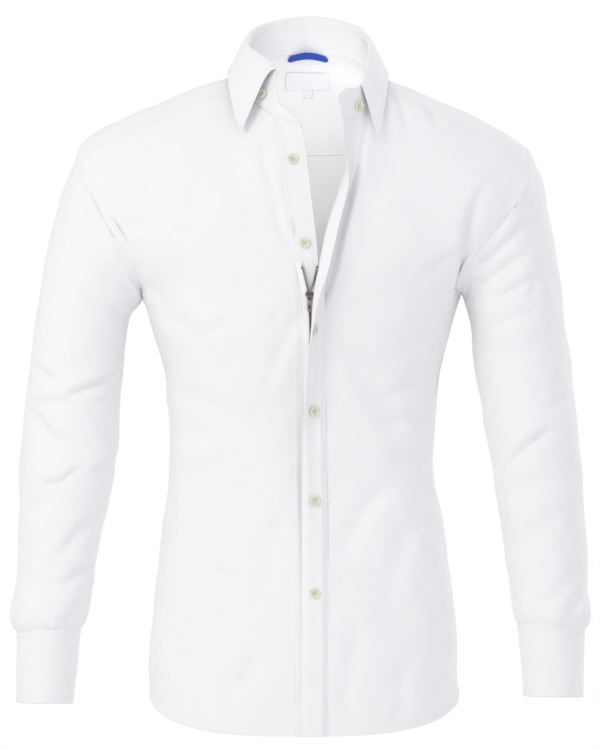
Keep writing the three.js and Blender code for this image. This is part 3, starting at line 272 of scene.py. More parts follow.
# The collar, by its share of the neck seam from the right front end to the left one: the
# fold at the top of the stand, and the free edge of the leaf.
STAND = table(
    "share x y z",
    (0, -12, -88, -43),
    (0.035, -18, -86, -38),
    (0.066, -25, -83, -33),
    (0.1, -32, -79, -25),
    (0.13, -34.5, -73, -8),
    (0.165, -34.5, -66, 9),
    (0.22, -48, -50, 22),
    (0.3, -65, -12, 37),
    (0.38, -58, 30, 53),
    (0.45, -35, 54, 61.5),
    (0.52, 0, 62, 65),
    (0.59, 35, 54, 61.5),
    (0.66, 58, 30, 53),
    (0.735, 66, -8, 38),
    (0.8, 65, -34, 21),
    (0.85, 62, -54, 5),
    (0.89, 57, -68, -7),
    (0.93, 50, -80, -10),
    (0.97, 40, -92, -11.5),
    (1, 32, -98, -19.5),
)
# "bow" is how far the leaf swings out below the fold, as a factor.
LEAF = table(
    "share x y z bow",
    (0.165, -72, -86, -57, 2.4),
    (0.2, -80, -67, -36, 2),
    (0.25, -85, -42, -12, 1.3),
    (0.3, -87, -8, 5, 1),
    (0.38, -74, 44, 16, 1),
    (0.45, -46, 71, 20, 1),
    (0.52, 0, 80, 21, 1),
    (0.59, 46, 71, 20, 1),
    (0.66, 74, 44, 16, 1),
    (0.735, 87, -4, 5, 1),
    (0.8, 85, -42, -12, 0.8),
    (0.85, 81, -68, -38, 0.5),
    (0.89, 77, -88, -68, 0.3),
)
LEAF_TURN = SimpleNamespace(inset=0.6, above=2, over=5, rise=2, part=0.4, out=3, forward=0.55)
# How the leaf starts inside the stand and rolls over its top.
LEAF_ROLL = ((-0.7, -9, 0), (-2.2, -5, 0.15), (-2.3, -1, 0.5), (-1.6, 1.2, 0.9))
LEAF_CROWN = (0.52, 0.11, 2.8)  # its highest place by share, how wide it is, and its rise

# The zip: where each chain's middle runs. Above the slider the left side lies inside the
# rolled placket, and "parted" is how much of the way it has gone there.
ZIP = table(
    "down right left parted",
    (200, -7.3, 11.2, 1),
    (207, -5.4, 9.7, 0.9),
    (219, -2.7, 6.3, 0.35),
    (227, -0.9, 4.1, 0.03),
    (231, -0.5, 3.7, 0),
    (234, 0.2, 3, 0),
    (238, 0.4, 2.8, 0),
    (281, 2, 4.4, 0),
    (640, 2, 4.4, 0),
)
CHAIN_WIDTH = 2.1
CHAIN_LEVEL = 2.5  # middle of the chain, off the right front
CHAIN_SPAN = (205.6, 629.6)  # down
CHAIN_REACH = (13.2, 15.3)  # along the rolled placket, from its seam
TAPE_SPAN = (197, 640)  # down
TAPE_WIDTH = 5.5
TAPE_OUTER_LEVEL = 0.9
TAPE_INSET = 5  # from the placket's seam to the left tape's far edge
TAPE_REACH = 12  # along the rolled placket, from its seam
TAPE_THICK = 0.8
UNDER_PLACKET = 1.9  # from its outside to the tape or chain below it
SLIDER = SimpleNamespace(width=8.4, waist=5.2, height=9.2, plate=1, room=2.4)
BRIDGE = SimpleNamespace(rise=2.6, half=2.7, radius=0.55, flat=1.5)
PULL = SimpleNamespace(width=5, neck=4.3, length=17, thick=1.1, bar=0.9)
TOOTH = (1.15, 2.3, 2.1)  # along the chain, across it and outwards
TOOTH_REACH = 0.35  # past the middle of its chain

BAND_BUTTONS = ((-16, 87), (-3.5, 177))  # x and down
PLACKET_BUTTONS = ((270, 3), (357.5, 1.6), (453.5, 0.8), (553, 0.5))  # down and shank
STAND_BUTTONS = ((0.136, 0.37), (0.934, 0.42))  # share of the seam and rise up the stand
STAND_SHANK = 0.75
BUTTON_GAP = 0.35
BUTTON_NODES = (
    "button_band_upper", "button_band_lower", "button_placket_1", "button_placket_2",
    "button_placket_3", "button_placket_4", "button_stand_right", "button_stand_left",
    "button_cuff_right", "button_cuff_left",
)
# Half the section of a button, from the middle of its back round the rim to its dish.
BUTTON_SECTION = (
    (0, 0), (3.4, 0), (4.4, 0.12), (5.2, 0.55), (5.62, 1.1), (5.68, 1.6), (5.45, 2.12),
    (5.0, 2.38), (4.5, 2.34), (4.1, 2.0), (3.75, 1.62), (3.2, 1.48), (0, 1.45),
)
BUTTON_HOLE = 0.85
BUTTON_SPREAD = 1.15
BUTTON_TURNS = (20, -12, 35, 8, -25, 40, 10, 60, 15, -30)  # degrees
CUFF_BUTTON_BACK = 1.55  # from the middle of its node to the cuff's cloth

LOOP = SimpleNamespace(half=22.3, top=29.2, ends=23.6, width=7.2, bulge=1.3)
LABEL = SimpleNamespace(half=24, top=10, foot=-8)
TAB = SimpleNamespace(half=4.8, top=-8.5, foot=-17)
TRIM_DEPTH = 2.9  # inside the yoke's outer face
LABEL_FOLD, LABEL_WAVE = 0.35, 0.25  # how high its edges' fold and its waves are

# ------------------------------------------------------------------ how the cloth lies
# Creases seen from the front: soft troughs that are deepest near their first end, bowed
# sideways in the middle. "lip" is the raised bank beside each, as a share of its depth,
# on the side to the left of its run; a negative one lies on the right.
FRONT_CREASES = table(
    "x down to_x to_down bow width depth lip",
    # right half: from the neck and band across the chest, then the waist and the tail
    (-49, 52, -33, 142, -3, 5, 2.4, 0.6),
    (-37, 128, -11, 200, -3, 5, 2.6, 0.6),
    (-84, 264, -124, 282, -3, 7, 1.6, -0.7),
    (-6, 234, -58, 342, 5, 9, 2.0, 0.6),
    (-100, 525, -84, 540, 2, 4, 1.6, 0.6),
    (-152, 248, -80, 306, -6, 9, 2.4, 0.6),
    (-146, 330, -64, 360, -4, 10, 2.2, 0.6),
    (-147, 374, -84, 404, 4, 8, 2.2, -0.6),
    (-143, 432, -60, 406, 3, 10, 2.0, 0.6),
    (-183, 214, -140, 286, 7, 7, 2.4, -0.6),
    (-205, 160, -128, 128, -8, 9, 2.4, -0.6),
    (-52, 606, -92, 678, 5, 12, 2.6, 0.5),
    (-130, 668, -146, 566, 3, 9, 2.6, 0.6),
    (-30, 470, -60, 560, 4, 13, 1.6, 0.6),
    # left half
    (10, 262, 68, 20, -3.5, 4, 5, -0.7),
    (86, 8, 112, 66, 3, 5, 2.8, -0.6),
    (104, 12, 146, 58, 4, 5, 2.8, -0.6),
    (165, 254, 196, 96, 8, 6, 5.8, 0.5),
    (176, 172, 112, 216, 6, 7, 2.8, -0.6),
    (20, 298, 98, 432, 4, 12, -3.6, 0),
    (36, 276, 114, 406, 4, 12, 2.4, 0),
    (96, 430, 24, 530, -5, 10, 3.2, 0.6),
    (138, 318, 66, 346, 4, 7, 3.0, 0.6),
    (138, 368, 78, 376, -4, 6, 2.8, 0.6),
    (140, 414, 84, 398, 5, 8, 2.6, -0.6),
    (100, 470, 78, 596, 5, 12, 2.2, 0.6),
    (150, 640, 118, 540, -4, 10, 3.0, 0.5),
    (44, 690, 56, 560, 4, 10, 2.2, 0.6),
    (96, 696, 112, 612, 3, 9, 2.2, -0.6),
    # right sleeve
    (-174, 238, -211, 135, 5, 5.2, 3.3, 0.6),
    (-185, 243, -249, 176, -6, 6.3, 2.7, -0.6),
    (-191, 265, -262, 231, -5, 6.3, 2.3, -0.6),
    (-265, 343, -191, 309, -3, 4, 4.4, 0.75),
    (-300, 302, -263, 328, -3, 4, 3, 0.6),
    (-305, 350, -238, 357, 6, 4, 3, 0.65),
    (-305, 351, -285, 380, 1, 4, 2.7, 0.6),
    (-294, 358, -254, 401, -2, 4, 3.1, 0.65),
    (-202, 338, -237, 350, 2, 4, 2.2, -0.7),
    (-288, 440, -239, 415, -3, 4, 3.6, 0.75),
    (-203, 401, -238, 432, 2, 6.8, 4.7, -0.65),
    (-224, 474, -278, 526, -4, 7.4, 3.3, -0.6),
    (-225, 520, -280, 547, 4, 5.8, 2.8, -0.6),
    (-231, 540, -265, 587, 4, 6.8, 3.1, -0.6),
    (-308, 471, -254, 449, 5, 8.4, 1.7, 0.5),
    (-312, 521, -270, 496, 4, 7.4, 1.6, -0.5),
    # left sleeve
    (173, 224, 247, 176, -4, 5, 3.2, 0.65),
    (172, 207, 249, 138, -6, 5, 2.7, 0.6),
    (194, 242, 271, 186, -5, 5, 2.6, 0.6),
    (235, 239, 257, 211, 2, 5, 2.1, 0.6),
    (192, 265, 255, 240, -4, 5.5, 1.9, 0.6),
    (195, 307, 276, 279, 6, 9.9, 1.4, 0.6),
    (210, 421, 283, 368, 5, 5, 2.9, 0.7),
    (219, 408, 266, 362, -4, 5, 1.9, 0.6),
    (285, 340, 250, 357, 2, 5, 2.2, 0.6),
    (213, 451, 297, 426, 6, 8.8, 1.7, 0.6),
    (223, 504, 304, 461, 6, 9.9, 1.6, 0.6),
    (300, 544, 275, 592, -3, 5, 2.2, 0.6),
    (289, 550, 285, 596, 2, 5, 1.6, 0.6),
    (246, 576, 299, 530, 4, 6.6, 1.7, -0.6),
)
BACK_CREASES = table(
    "x down to_x to_down bow width depth lip",
    (-178, 216, -106, 128, 8, 8, 4.4, 0.6),
    (174, 222, 96, 136, -8, 8, 4.2, -0.6),
    (-156, 272, -64, 244, 8, 8, 3.4, 0.6),
    (150, 264, 52, 252, -7, 9, 3.2, 0.6),
    (-142, 344, -34, 368, 7, 8, 4.2, 0.6),
    (138, 330, 20, 360, -8, 8, 4.0, -0.6),
    (-138, 392, -50, 398, -6, 7, 3.6, 0.6),
    (140, 388, 40, 404, 6, 8, 3.8, -0.6),
    (-144, 438, -62, 422, 5, 9, 3.0, -0.6),
    (136, 448, 60, 430, -5, 9, 3.0, 0.6),
    (-56, 462, -78, 640, 7, 14, 3.2, 0.6),
    (28, 448, 48, 660, -8, 15, 3.0, 0.6),
    (102, 500, 124, 650, 4, 12, 3.0, -0.6),
    (-18, 96, -26, 300, 4, 16, 2.4, 0.6),
    (-140, 640, -112, 520, 4, 11, 2.8, 0.6),
    (-196, 264, -264, 212, 8, 6, 4.4, 0.6),
    (-202, 332, -278, 318, 7, 6, 4.0, 0.6),
    (-208, 404, -294, 354, 8, 5, 5.0, 0.6),
    (-220, 440, -292, 430, 5, 6, 4.0, -0.6),
    (-230, 510, -298, 474, 6, 7, 3.4, 0.6),
    (-300, 560, -250, 530, 5, 7, 3.0, 0.6),
    (188, 252, 252, 198, 7, 6, 4.4, -0.6),
    (192, 324, 268, 306, -6, 6, 4.0, 0.6),
    (202, 400, 282, 350, -7, 5, 4.8, 0.6),
    (210, 438, 282, 424, 5, 6, 3.8, 0.6),
    (220, 508, 288, 470, 6, 7, 3.4, -0.6),
    (296, 556, 244, 528, 5, 7, 3.0, 0.6),
)
CREASE_TAPER = (0.2, 0.5)  # of its length, at its first and last end
BANK_AT = 1.5  # crease widths from the trough to the top of the bank beside it
BANK_WIDTH = 3.2
CREASE_WOBBLE = 0.25  # of its width
# Waves that run through all the cloth: length, height and how many of each.
RUMPLE = ((130, 0.55, 5), (58, 0.28, 7), (27, 0.10, 8))

PANEL_STEP = 3.0  # between points of a large panel
STRIP_STEP = 2.4
TRIM_STEP = 2.2
# How long and how wide each panel is, nearly. With the steps it sets how many points it has.
ROUGH_SIZES = dict(front=(640, 215), back=(600, 430), yoke=(165, 520), band=(650, 29),
                   placket=(665, 28), stand=(45, 430), leaf=(95, 430), cuff=80)
FINE_STEP = 1.1  # beside an edge
FINE_MARGIN = 10
FRONT_FACING, FACING_BLEND = 0.25, 0.6  # where the front's creases give way to the back's
CALM_REACH = 11  # how far from an armhole's seam the creases are whole again
CALM_FOOT = (244, 268)  # down, where a panel's outer edge leaves the armhole
SEAM_LIFT = 0.12  # how much the yoke stands up along its front seams
TUCK_DROP = 0.85  # how far an edge lies below its neighbour
STITCH_GROOVE = 0.3  # depth along a line of stitches
STITCH_GROOVE_WIDTH = 1.1
STITCH_LIFT = 0.05
STITCH_SECTION = ((-0.5, 0), (-0.36, 0.75), (0, 1), (0.36, 0.75), (0.5, 0))  # by its length and girth
PUCKER = 0.16  # height of the small waves beside it
PUCKER_LENGTH = 8.5
HEM_INSET, ARMHOLE_INSET, YOKE_INSET, CUFF_INSET, LEAF_INSET = 7, 9, 2.2, 5.5, 5.5  # of topstitching
SINGLE, LINED, FOLDED, COLLAR_THICK, CUFF_THICK = 0.7, 0.9, 1.1, 1.2, 1.5  # how thick the cloth is
NARROWEST = 0.01  # m: the least width that a sheet's flat size can state


# ------------------------------------------------------------------ small maths
def mix(start, end, share):
    return start + (end - start) * share


def smooth(value):
    value = np.clip(value, 0, 1)
    return value * value * (3 - 2 * value)


def ramp(value, start, full):
    """From 0 at the start to 1 where it is full, with soft ends. It may run either way."""
    return smooth((value - start) / (full - start))


def unit(ways):
    return ways / np.maximum(np.linalg.norm(ways, axis=-1, keepdims=True), 1e-9)


def spot(x, y, z):
    return np.stack(np.broadcast_arrays(x, y, z), axis=-1).astype(float)


def between(at, value, where):
    """Smooth values between the rows of a table. A row may be a whole ring of points."""
    tail = (1,) * (value.ndim - 1)
    rise = np.diff(value, axis=0) / np.diff(at).reshape(-1, *tail)
    before = np.concatenate([rise[:1], rise])
    after = np.concatenate([rise, rise[-1:]])
    total = np.where(before + after == 0, 1, before + after)
    slope = np.where(before * after > 0, 2 * before * after / total, 0)
    where = np.clip(np.asarray(where, float), at[0], at[-1])
    i = np.clip(np.searchsorted(at, where, side="right") - 1, 0, len(at) - 2)
    span = np.reshape(at[i + 1] - at[i], i.shape + tail)
    t = np.reshape(where - at[i], i.shape + tail) / span
    start = (1 + 2 * t) * (1 - t) ** 2 * value[i] + t * (1 - t) ** 2 * span * slope[i]
    end = t * t * (3 - 2 * t) * value[i + 1] - t * t * (1 - t) * span * slope[i + 1]
    return start + end


def curves(rows):
    """Smooth curves through a table's columns, by its first one."""
    key, *names = rows
    return SimpleNamespace(**{name: partial(between, rows[key], rows[name]) for name in names})


def stations(length, step, start=True):
    """Shares of a length of cloth, closer together beside its end and a finished start."""
    at = np.linspace(0, length, 500)
    near = np.minimum(at if start else length, length - at)
    density = 1 / mix(min(FINE_STEP, step), step, ramp(near, FINE_MARGIN, 2 * FINE_MARGIN))
    run = np.concatenate([[0], np.cumsum((density[1:] + density[:-1]) / 2 * np.diff(at))])
    count = max(round(run[-1]), 2)
    return np.interp(np.linspace(0, run[-1], count + 1), run, at) / length


def panel_shares(name, step, across_step):
    """A panel's shares down, as a column, and across, as a row."""
    long, wide = ROUGH_SIZES[name]
    return stations(long, step)[:, None], stations(wide, across_step)[None, :]


def lengths(path):
    """How far along a path each of its points lies."""
    return np.concatenate([[0], np.cumsum(np.linalg.norm(np.diff(path, axis=0), axis=-1))])


def along(path, share):
    """Points at shares of a path's length."""
    run = lengths(path)
    return np.stack([np.interp(np.asarray(share) * run[-1], run, path[:, k]) for k in range(3)], axis=-1)


trunk, ridge, armhole, yoke_neck, right_inner, left_inner, band_width, stand, leaf, zip_run = map(
    curves, (TRUNK, RIDGE, ARMHOLE, YOKE_NECK, RIGHT_INNER, LEFT_INNER, BAND_WIDTH, STAND, LEAF, ZIP))


# ------------------------------------------------------------------ the trunk's surface
def from_middle(x):
    """How far out a point is, without a kink at the middle."""
    return np.hypot(x, MIDDLE_SOFT)


def flank(x, z):
    reach = np.minimum(np.abs(x - trunk.middle(-z)) / trunk.half(-z), 1)
    return (1 - reach**FLANK_POWER) ** (1 / FLANK_POWER)


def trunk_spot(x, z, depth, roundness):
    out = from_middle(x)
    level = np.clip(1 - (ridge.height(out) - z) / roundness(out), 0, 1)
    return spot(x, depth * np.sqrt(1 - level**2) * flank(x, z), z)


def front_spot(x, z):
    return trunk_spot(x, z, -trunk.front(-z), ridge.front_round)


def back_spot(x, z):
    return trunk_spot(x, z, trunk.back(-z), ridge.back_round)


def over_shoulder(x, turn):
    """A point over the shoulder, by its turn from the ridge: positive to the front."""
    out = from_middle(x)
    roundness = np.where(turn > 0, ridge.front_round(out), ridge.back_round(out))
    bend = np.minimum(np.abs(turn), math.pi / 2)
    straight = np.maximum(np.abs(turn) - math.pi / 2, 0)
    z = ridge.height(out) - roundness * (1 - np.cos(bend) + straight)
    return np.where((turn > 0)[..., None], front_spot(x, z), back_spot(x, z))


def turn_at(x, z, roundness):
    below = (ridge.height(from_middle(x)) - z) / roundness(from_middle(x))
    return np.where(below > 1, math.pi / 2 + below - 1, np.arccos(np.clip(1 - below, -1, 1)))


def outer_edge(down):
    return np.where(down < ARMPIT, armhole.out(down), trunk.half(down))


def hem(x, tail):
    reach = np.minimum(np.abs(x - trunk.middle(SIDE_HEM)) / trunk.half(SIDE_HEM), 1)
    return -SIDE_HEM - tail * np.sqrt(1 - reach**3)


# ------------------------------------------------------------------ panels by their shares
def front_at(side, u, v):
    """A front's point, from its inner edge (u = 0) and the yoke seam (v = 0)."""
    inner = right_inner if side == RIGHT else left_inner
    top_inner = ridge.height(NECK_OUT) - YOKE_FRONT_DROP
    top_outer = ridge.height(SHOULDER_OUT) - YOKE_FRONT_DROP
    inner_x = side * inner.out(-mix(top_inner, hem(0, FRONT_TAIL), v))
    outer_down = -mix(top_outer, -SIDE_HEM, v)
    outer_x = trunk.middle(outer_down) + side * outer_edge(outer_down)
    top = ridge.height(mix(NECK_OUT, SHOULDER_OUT, u)) - YOKE_FRONT_DROP
    hem_out = side * trunk.middle(SIDE_HEM) + trunk.half(SIDE_HEM)
    foot = hem(side * mix(inner.out(SIDE_HEM), hem_out, u), FRONT_TAIL)
    return front_spot(mix(inner_x, outer_x, u), mix(top, foot, v))


def back_at(t, v):
    """The back's point, from its right side (t = -1) to its left, and down from the yoke."""
    outer_down = mix(YOKE_BACK, SIDE_HEM, v)
    x = trunk.middle(outer_down) + t * outer_edge(outer_down)
    foot = hem(trunk.middle(SIDE_HEM) + t * trunk.half(SIDE_HEM), BACK_TAIL)
    return back_spot(x, mix(-YOKE_BACK, foot, v))


def yoke_at(t, v):
    """The yoke's point, from its front seams and the neck (v = 0) to its back seam."""
    t, v = np.broadcast_arrays(t, v)
    across = np.abs(t)
    share = np.minimum(across / YOKE_NECK_SHARE, 1)
    past_neck = np.maximum((across - YOKE_NECK_SHARE) / (1 - YOKE_NECK_SHARE), 0)
    out = mix(NECK_OUT, SHOULDER_OUT, past_neck)
    at_neck = across <= YOKE_NECK_SHARE
    top_x = np.sign(t) * np.where(at_neck, yoke_neck.out(share), out)
    seam_turn = turn_at(out, ridge.height(out) - YOKE_FRONT_DROP, ridge.front_round)
    top_turn = np.where(at_neck, np.radians(yoke_neck.turn(share)), seam_turn)
    foot_x = t * outer_edge(YOKE_BACK)
    foot_turn = -turn_at(foot_x, -YOKE_BACK, ridge.back_round)
    return over_shoulder(mix(top_x, foot_x, v), mix(top_turn, foot_turn, v))


def band_at(u, down):
    """The button band's point, from its seam (u = 0) to its front edge."""
    return front_spot(-right_inner.out(down) + u * band_width.width(down), -down)


def placket_at(distance, down):
    """The placket's point at a distance from its seam, rolled open towards the neck."""
    distance, down = np.broadcast_arrays(distance, down)
    stride = (np.arange(CURL_STEPS) + 0.5) / CURL_STEPS
    share = ramp(distance[..., None] * stride, *PLACKET_CURL)
    turn = np.radians(left_inner.curl(down))[..., None] * share
    inwards = distance * np.cos(turn).mean(axis=-1)
    forward = distance * np.sin(turn).mean(axis=-1)
    near, far, drop = PLACKET_SETTLE
    lying = smooth((300 - left_inner.curl(down) * 5) / 200)
    settled = drop * lying * ramp(distance, near, far)
    across = smooth(distance / PLACKET_LIFT_RUN) - settled
    lift = PLACKET_LIFT * ramp(down, *PLACKET_LIFT_DOWN) * across
    spots = front_spot(left_inner.out(down) - inwards, -down)
    spots[..., 1] -= forward + lift
    return spots


def hill(spots, x, width, down, height):
    """A soft round weight about a place seen from the front."""
    return np.exp(-(((spots[..., 0] - x) / width) ** 2) - ((-spots[..., 2] - down) / height) ** 2)


def shouldered(spots):
    """The points with the right shoulder a little higher and the left one rounder."""
    inwards, down = -spots[..., 0], -spots[..., 2]
    rise = SHOULDER_RISE
    higher = rise.height * ramp(inwards, *rise.out) * (1 - rise.ease * ramp(inwards, *rise.ease_out))
    higher = higher * (1 - ramp(down, *rise.ends_down))
    wider = SHOULDER_WIDER * hill(spots, *SHOULDER_WIDER_AT)
    rounder = hill(spots, *SHOULDER_ROUND_AT)
    return spots + spot(-wider - SHOULDER_ROUND[0] * rounder, 0, higher - SHOULDER_ROUND[1] * rounder)


def ring_at(side, place):
    """The sleeve's ring at a place between its table's rows."""
    rows, place = SLEEVES[side], np.array(float(place))
    return {name: between(rows["ring"], column, place) for name, column in rows.items()}


def oval(side, ring, angle):
    """Points round a sleeve: 0 is the outside, a quarter turn the front, half the body's side."""
    inner = spot(side * ring["inner_out"], -ring["forward"], -ring["inner_down"])
    outer = spot(side * ring["outer_out"], -ring["forward"], -ring["outer_down"])
    spots = (inner + outer) / 2 + (outer - inner) / 2 * np.cos(angle)[..., None]
    spots[..., 1] -= ring["depth"] / 2 * np.sin(angle)
    return spots


# ------------------------------------------------------------------ finishing a grid of points
# A grid's columns run clockwise round the form as seen from above, and its rows run down.
def outwards(grid, ring=False):
    above = np.concatenate([grid[:1], grid[:-1]])
    below = np.concatenate([grid[1:], grid[-1:]])
    if ring:
        before, after = np.roll(grid, 1, axis=1), np.roll(grid, -1, axis=1)
    else:
        before = np.concatenate([grid[:, :1], grid[:, :-1]], axis=1)
        after = np.concatenate([grid[:, 1:], grid[:, -1:]], axis=1)
    return unit(np.cross(after - before, below - above))


def turned(grid, edge):
    """The grid with the named edge as its first row. Doing it twice puts it back."""
    if edge == "foot":
        return grid[::-1]
    if edge == "start":
        return np.swapaxes(grid, 0, 1)
    if edge == "end":
        return np.swapaxes(grid[::-1, ::-1], 0, 1)
    return grid


def from_edge(grid, edge):
    """How far along the cloth each point lies from the named edge."""
    side = turned(grid, edge)
    stride = np.linalg.norm(np.diff(side, axis=0), axis=-1)
    return turned(np.concatenate([np.zeros_like(side[:1, :, 0]), np.cumsum(stride, axis=0)]), edge)


def beside(grid, edge):
    """How far each point lies along the named edge."""
    return from_edge(grid, "start" if edge in ("top", "foot") else "top")


def creases(rows, spots):
    """The height of a table's creases at each point."""
    height = np.zeros(spots.shape[:-1])
    for x, down, to_x, to_down, bow, width, depth, lip in zip(*rows.values()):
        run = np.array([to_x - x, to_down - down])
        reach = np.hypot(*run)
        way = run / reach
        off_x = spots[..., 0] - x
        off_down = -spots[..., 2] - down
        share = (off_x * way[0] + off_down * way[1]) / reach
        bent = bow * 4 * share * (1 - share) + CREASE_WOBBLE * width * np.sin(9 * share + x)
        sideways = (off_x * way[1] - off_down * way[0] - bent) / width
        ends = smooth(share / CREASE_TAPER[0]) * smooth((1 - share) / CREASE_TAPER[1])
        trough = np.exp(-(sideways**2))
        beside_it = sideways * (1 if lip > 0 else -1)
        past_top = np.maximum(beside_it - BANK_AT, 0) / BANK_WIDTH
        bank = smooth(beside_it / BANK_AT) * np.exp(-(past_top**2))
        height += depth * ends * (abs(lip) * bank - trough)
    return height


def rumple(spots, seed):
    """The height of the soft waves that run through all the cloth."""
    chance = np.random.default_rng(seed)
    height = np.zeros(spots.shape[:-1])
    for length, rise, count in RUMPLE:
        for _ in range(count):
            way = unit(chance.normal(size=3))
            phase = chance.uniform(0, 2 * math.pi)
            stretch = chance.uniform(0.7, 1.4)
            height += rise * np.sin(spots @ way * 2 * math.pi / (length * stretch) + phase)
    return height


def creased(grid, ways, settings):
    facing = ways[..., 1]
    front = smooth((FRONT_FACING - facing) / FACING_BLEND)
    height = creases(FRONT_CREASES, grid) * front + creases(BACK_CREASES, grid) * (1 - front)
    return settings.crease_depth * height + settings.rumple * rumple(grid, settings.seed)


def stitched_edge(grid, edge, inset, rise):
    """The raised fold beside a topstitched edge, its groove and its small puckers."""
    off = from_edge(grid, edge)
    run = beside(grid, edge)
    fold = rise * smooth((inset + 1.5 - off) / 1.5)
    groove = -STITCH_GROOVE * np.exp(-(((off - inset) / STITCH_GROOVE_WIDTH) ** 2))
    wave = np.sin(2 * math.pi * run / PUCKER_LENGTH + 2 * np.sin(run / 23))
    return fold + groove + PUCKER * wave * np.exp(-(((off - inset) / 4) ** 2))


def tucked(grid, tucks, ring=False):
    """The grid with each named edge carried on below its neighbour: (edge, reach, share)."""
    for edge, reach, share in tucks:
        ways = turned(outwards(grid, ring), edge)
        side = turned(grid, edge)
        share = np.broadcast_to(share, len(side[0]))
        back = unit(side[0] - side[1]) * share[:, None]
        drop = ways[0] * TUCK_DROP * share[:, None]
        far = side[0] + back * reach - drop * 1.3
        near = side[0] + back * 0.5 - drop
        grid = turned(np.concatenate([[far, near], side]), edge)
    return grid


def sewn(grid, settings, crease=1.0, stitched=(), calm=(), ring=False):
    """The finished outside of a panel. stitched has (edge, inset, rise) for each edge with
    topstitching, and calm has (edge, share) for each edge beside which the creases end."""
    ways = outwards(grid, ring)
    height = crease * creased(grid, ways, settings)
    for edge, share in calm:
        height = height * (1 - share * (1 - smooth(from_edge(grid, edge) / CALM_REACH)))
    for edge, inset, rise in stitched:
        height = height + stitched_edge(grid, edge, inset, rise)
    return grid + ways * height[..., None]


# ------------------------------------------------------------------ meshes
def link(name, mesh):
    piece = bpy.data.objects.new(name, mesh)
    bpy.context.scene.collection.objects.link(piece)
    return piece


def shell_mesh(name, grid, thickness, ring=False):
    """A closed sheet of cloth with rounded edges. Its UV map is in metres of cloth."""
    rows, width = grid.shape[:2]
    ways = outwards(grid, ring)
    away = np.zeros_like(grid)
    away[0] += unit(grid[0] - grid[1])
    away[-1] += unit(grid[-1] - grid[-2])
    if not ring:
        away[:, 0] += unit(grid[:, 0] - grid[:, 1])
        away[:, -1] += unit(grid[:, -1] - grid[:, -2])
    inner = grid - ways * thickness
    rim = grid - ways * thickness / 2 + unit(away) * thickness * 0.45

    columns = width + 1 if ring else width
    ids = np.arange(rows)[:, None] * width + np.arange(columns)[None, :] % width
    closed = np.concatenate([grid, grid[:, :1]], axis=1) if ring else grid
    across = np.concatenate([np.zeros((rows, 1)), np.cumsum(
        np.linalg.norm(np.diff(closed, axis=1), axis=-1), axis=1)], axis=1)
    across -= across[:, -1:] / 2
    down = from_edge(closed, "top")
    flat = np.stack([across, -down], axis=-1) * MM

    def quads(of):
        corners = [of[:-1, :-1], of[:-1, 1:], of[1:, 1:], of[1:, :-1]]
        return np.stack(corners, axis=2).reshape(-1, 4, *of.shape[2:])

    count = rows * width
    faces = [quads(ids), quads(ids)[:, ::-1] + count]
    uvs = [quads(flat), quads(flat)[:, ::-1]]
    borders = [(ids[0][::-1], flat[0][::-1]), (ids[-1], flat[-1])]
    if not ring:
        borders += [(ids[:, 0], flat[:, 0]), (ids[:, -1][::-1], flat[:, -1][::-1])]
    for loop, loop_flat in borders:
        one, two = loop[:-1], loop[1:]
        for near, far in ((0, 2 * count), (2 * count, count)):
            faces.append(np.stack([two + near, two + far, one + far, one + near], axis=1))
            uvs.append(np.repeat(np.stack([loop_flat[1:], loop_flat[:-1]], axis=1), 2, axis=1))
    faces = np.concatenate(faces)
    spots = np.concatenate([grid.reshape(-1, 3), inner.reshape(-1, 3), rim.reshape(-1, 3)]) * MM
    used = np.unique(faces)
    fresh = np.full(len(spots), -1)
    fresh[used] = np.arange(len(used))
    return mesh_from(name, spots[used], fresh[faces], np.concatenate(uvs))


def mesh_from(name, spots, faces, flat=None):
    mesh = bpy.data.meshes.new(name)
    mesh.from_pydata(spots.tolist(), [], faces.tolist())
    if flat is not None:
        layer = mesh.uv_layers.new(name="cloth")
        layer.uv.foreach_set("vector", flat.reshape(-1))
    mesh.shade_smooth()
    return mesh


def declared(piece, slot, *nodes, body=SHIRT_BODY):
    """Says which body a piece moves with and hides the nodes that it stands for. Its slot is not used.
    """
    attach(piece, body)
    if nodes:
        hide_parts(*nodes)


def cloth_piece(name, plain, grid, thickness, material="white poplin",
                slot="white_cloth", ring=False):
    """A sheet of cloth that stands for a node. It works out the flat size of its plain form, but does
    not keep it.
    """
    piece = link(name + "_cloth", shell_mesh(name, shouldered(grid), thickness, ring))
    piece.data.materials.append(finish(material))
    declared(piece, slot, name)
    closed = np.concatenate([plain, plain[:, :1]], axis=1) if ring else plain
    width = from_edge(closed, "start")[:, -1].max() * MM
    length = from_edge(closed, "top")[-1].max() * MM
    width, length = max(width, NARROWEST), max(length, NARROWEST)


stitch_lines = []


def keep_lines(grid, stitched):
    """Notes lines of stitches for the stitching that is made last."""
    for edge, inset, _ in stitched:
        stitch_lines.append(chosen_line(grid, edge, inset))


def panel(name, grid, settings, thickness, crease=1.0, stitched=(), calm=(), tucks=()):
    """Sews a piece of cloth, makes it and notes its stitches."""
    cut = sewn(grid, settings, crease, stitched, calm)
    cloth_piece(name, grid, tucked(cut, tucks), thickness)
    keep_lines(cut, stitched)


def baked(piece, name):
    """A plain mesh of a piece with its modifiers applied, in the piece's stead."""
    bpy.context.view_layer.update()
    graph = bpy.context.evaluated_depsgraph_get()
    mesh = bpy.data.meshes.new_from_object(piece.evaluated_get(graph))
    bpy.data.objects.remove(piece)
    mesh.name = name
    return link(name, mesh)


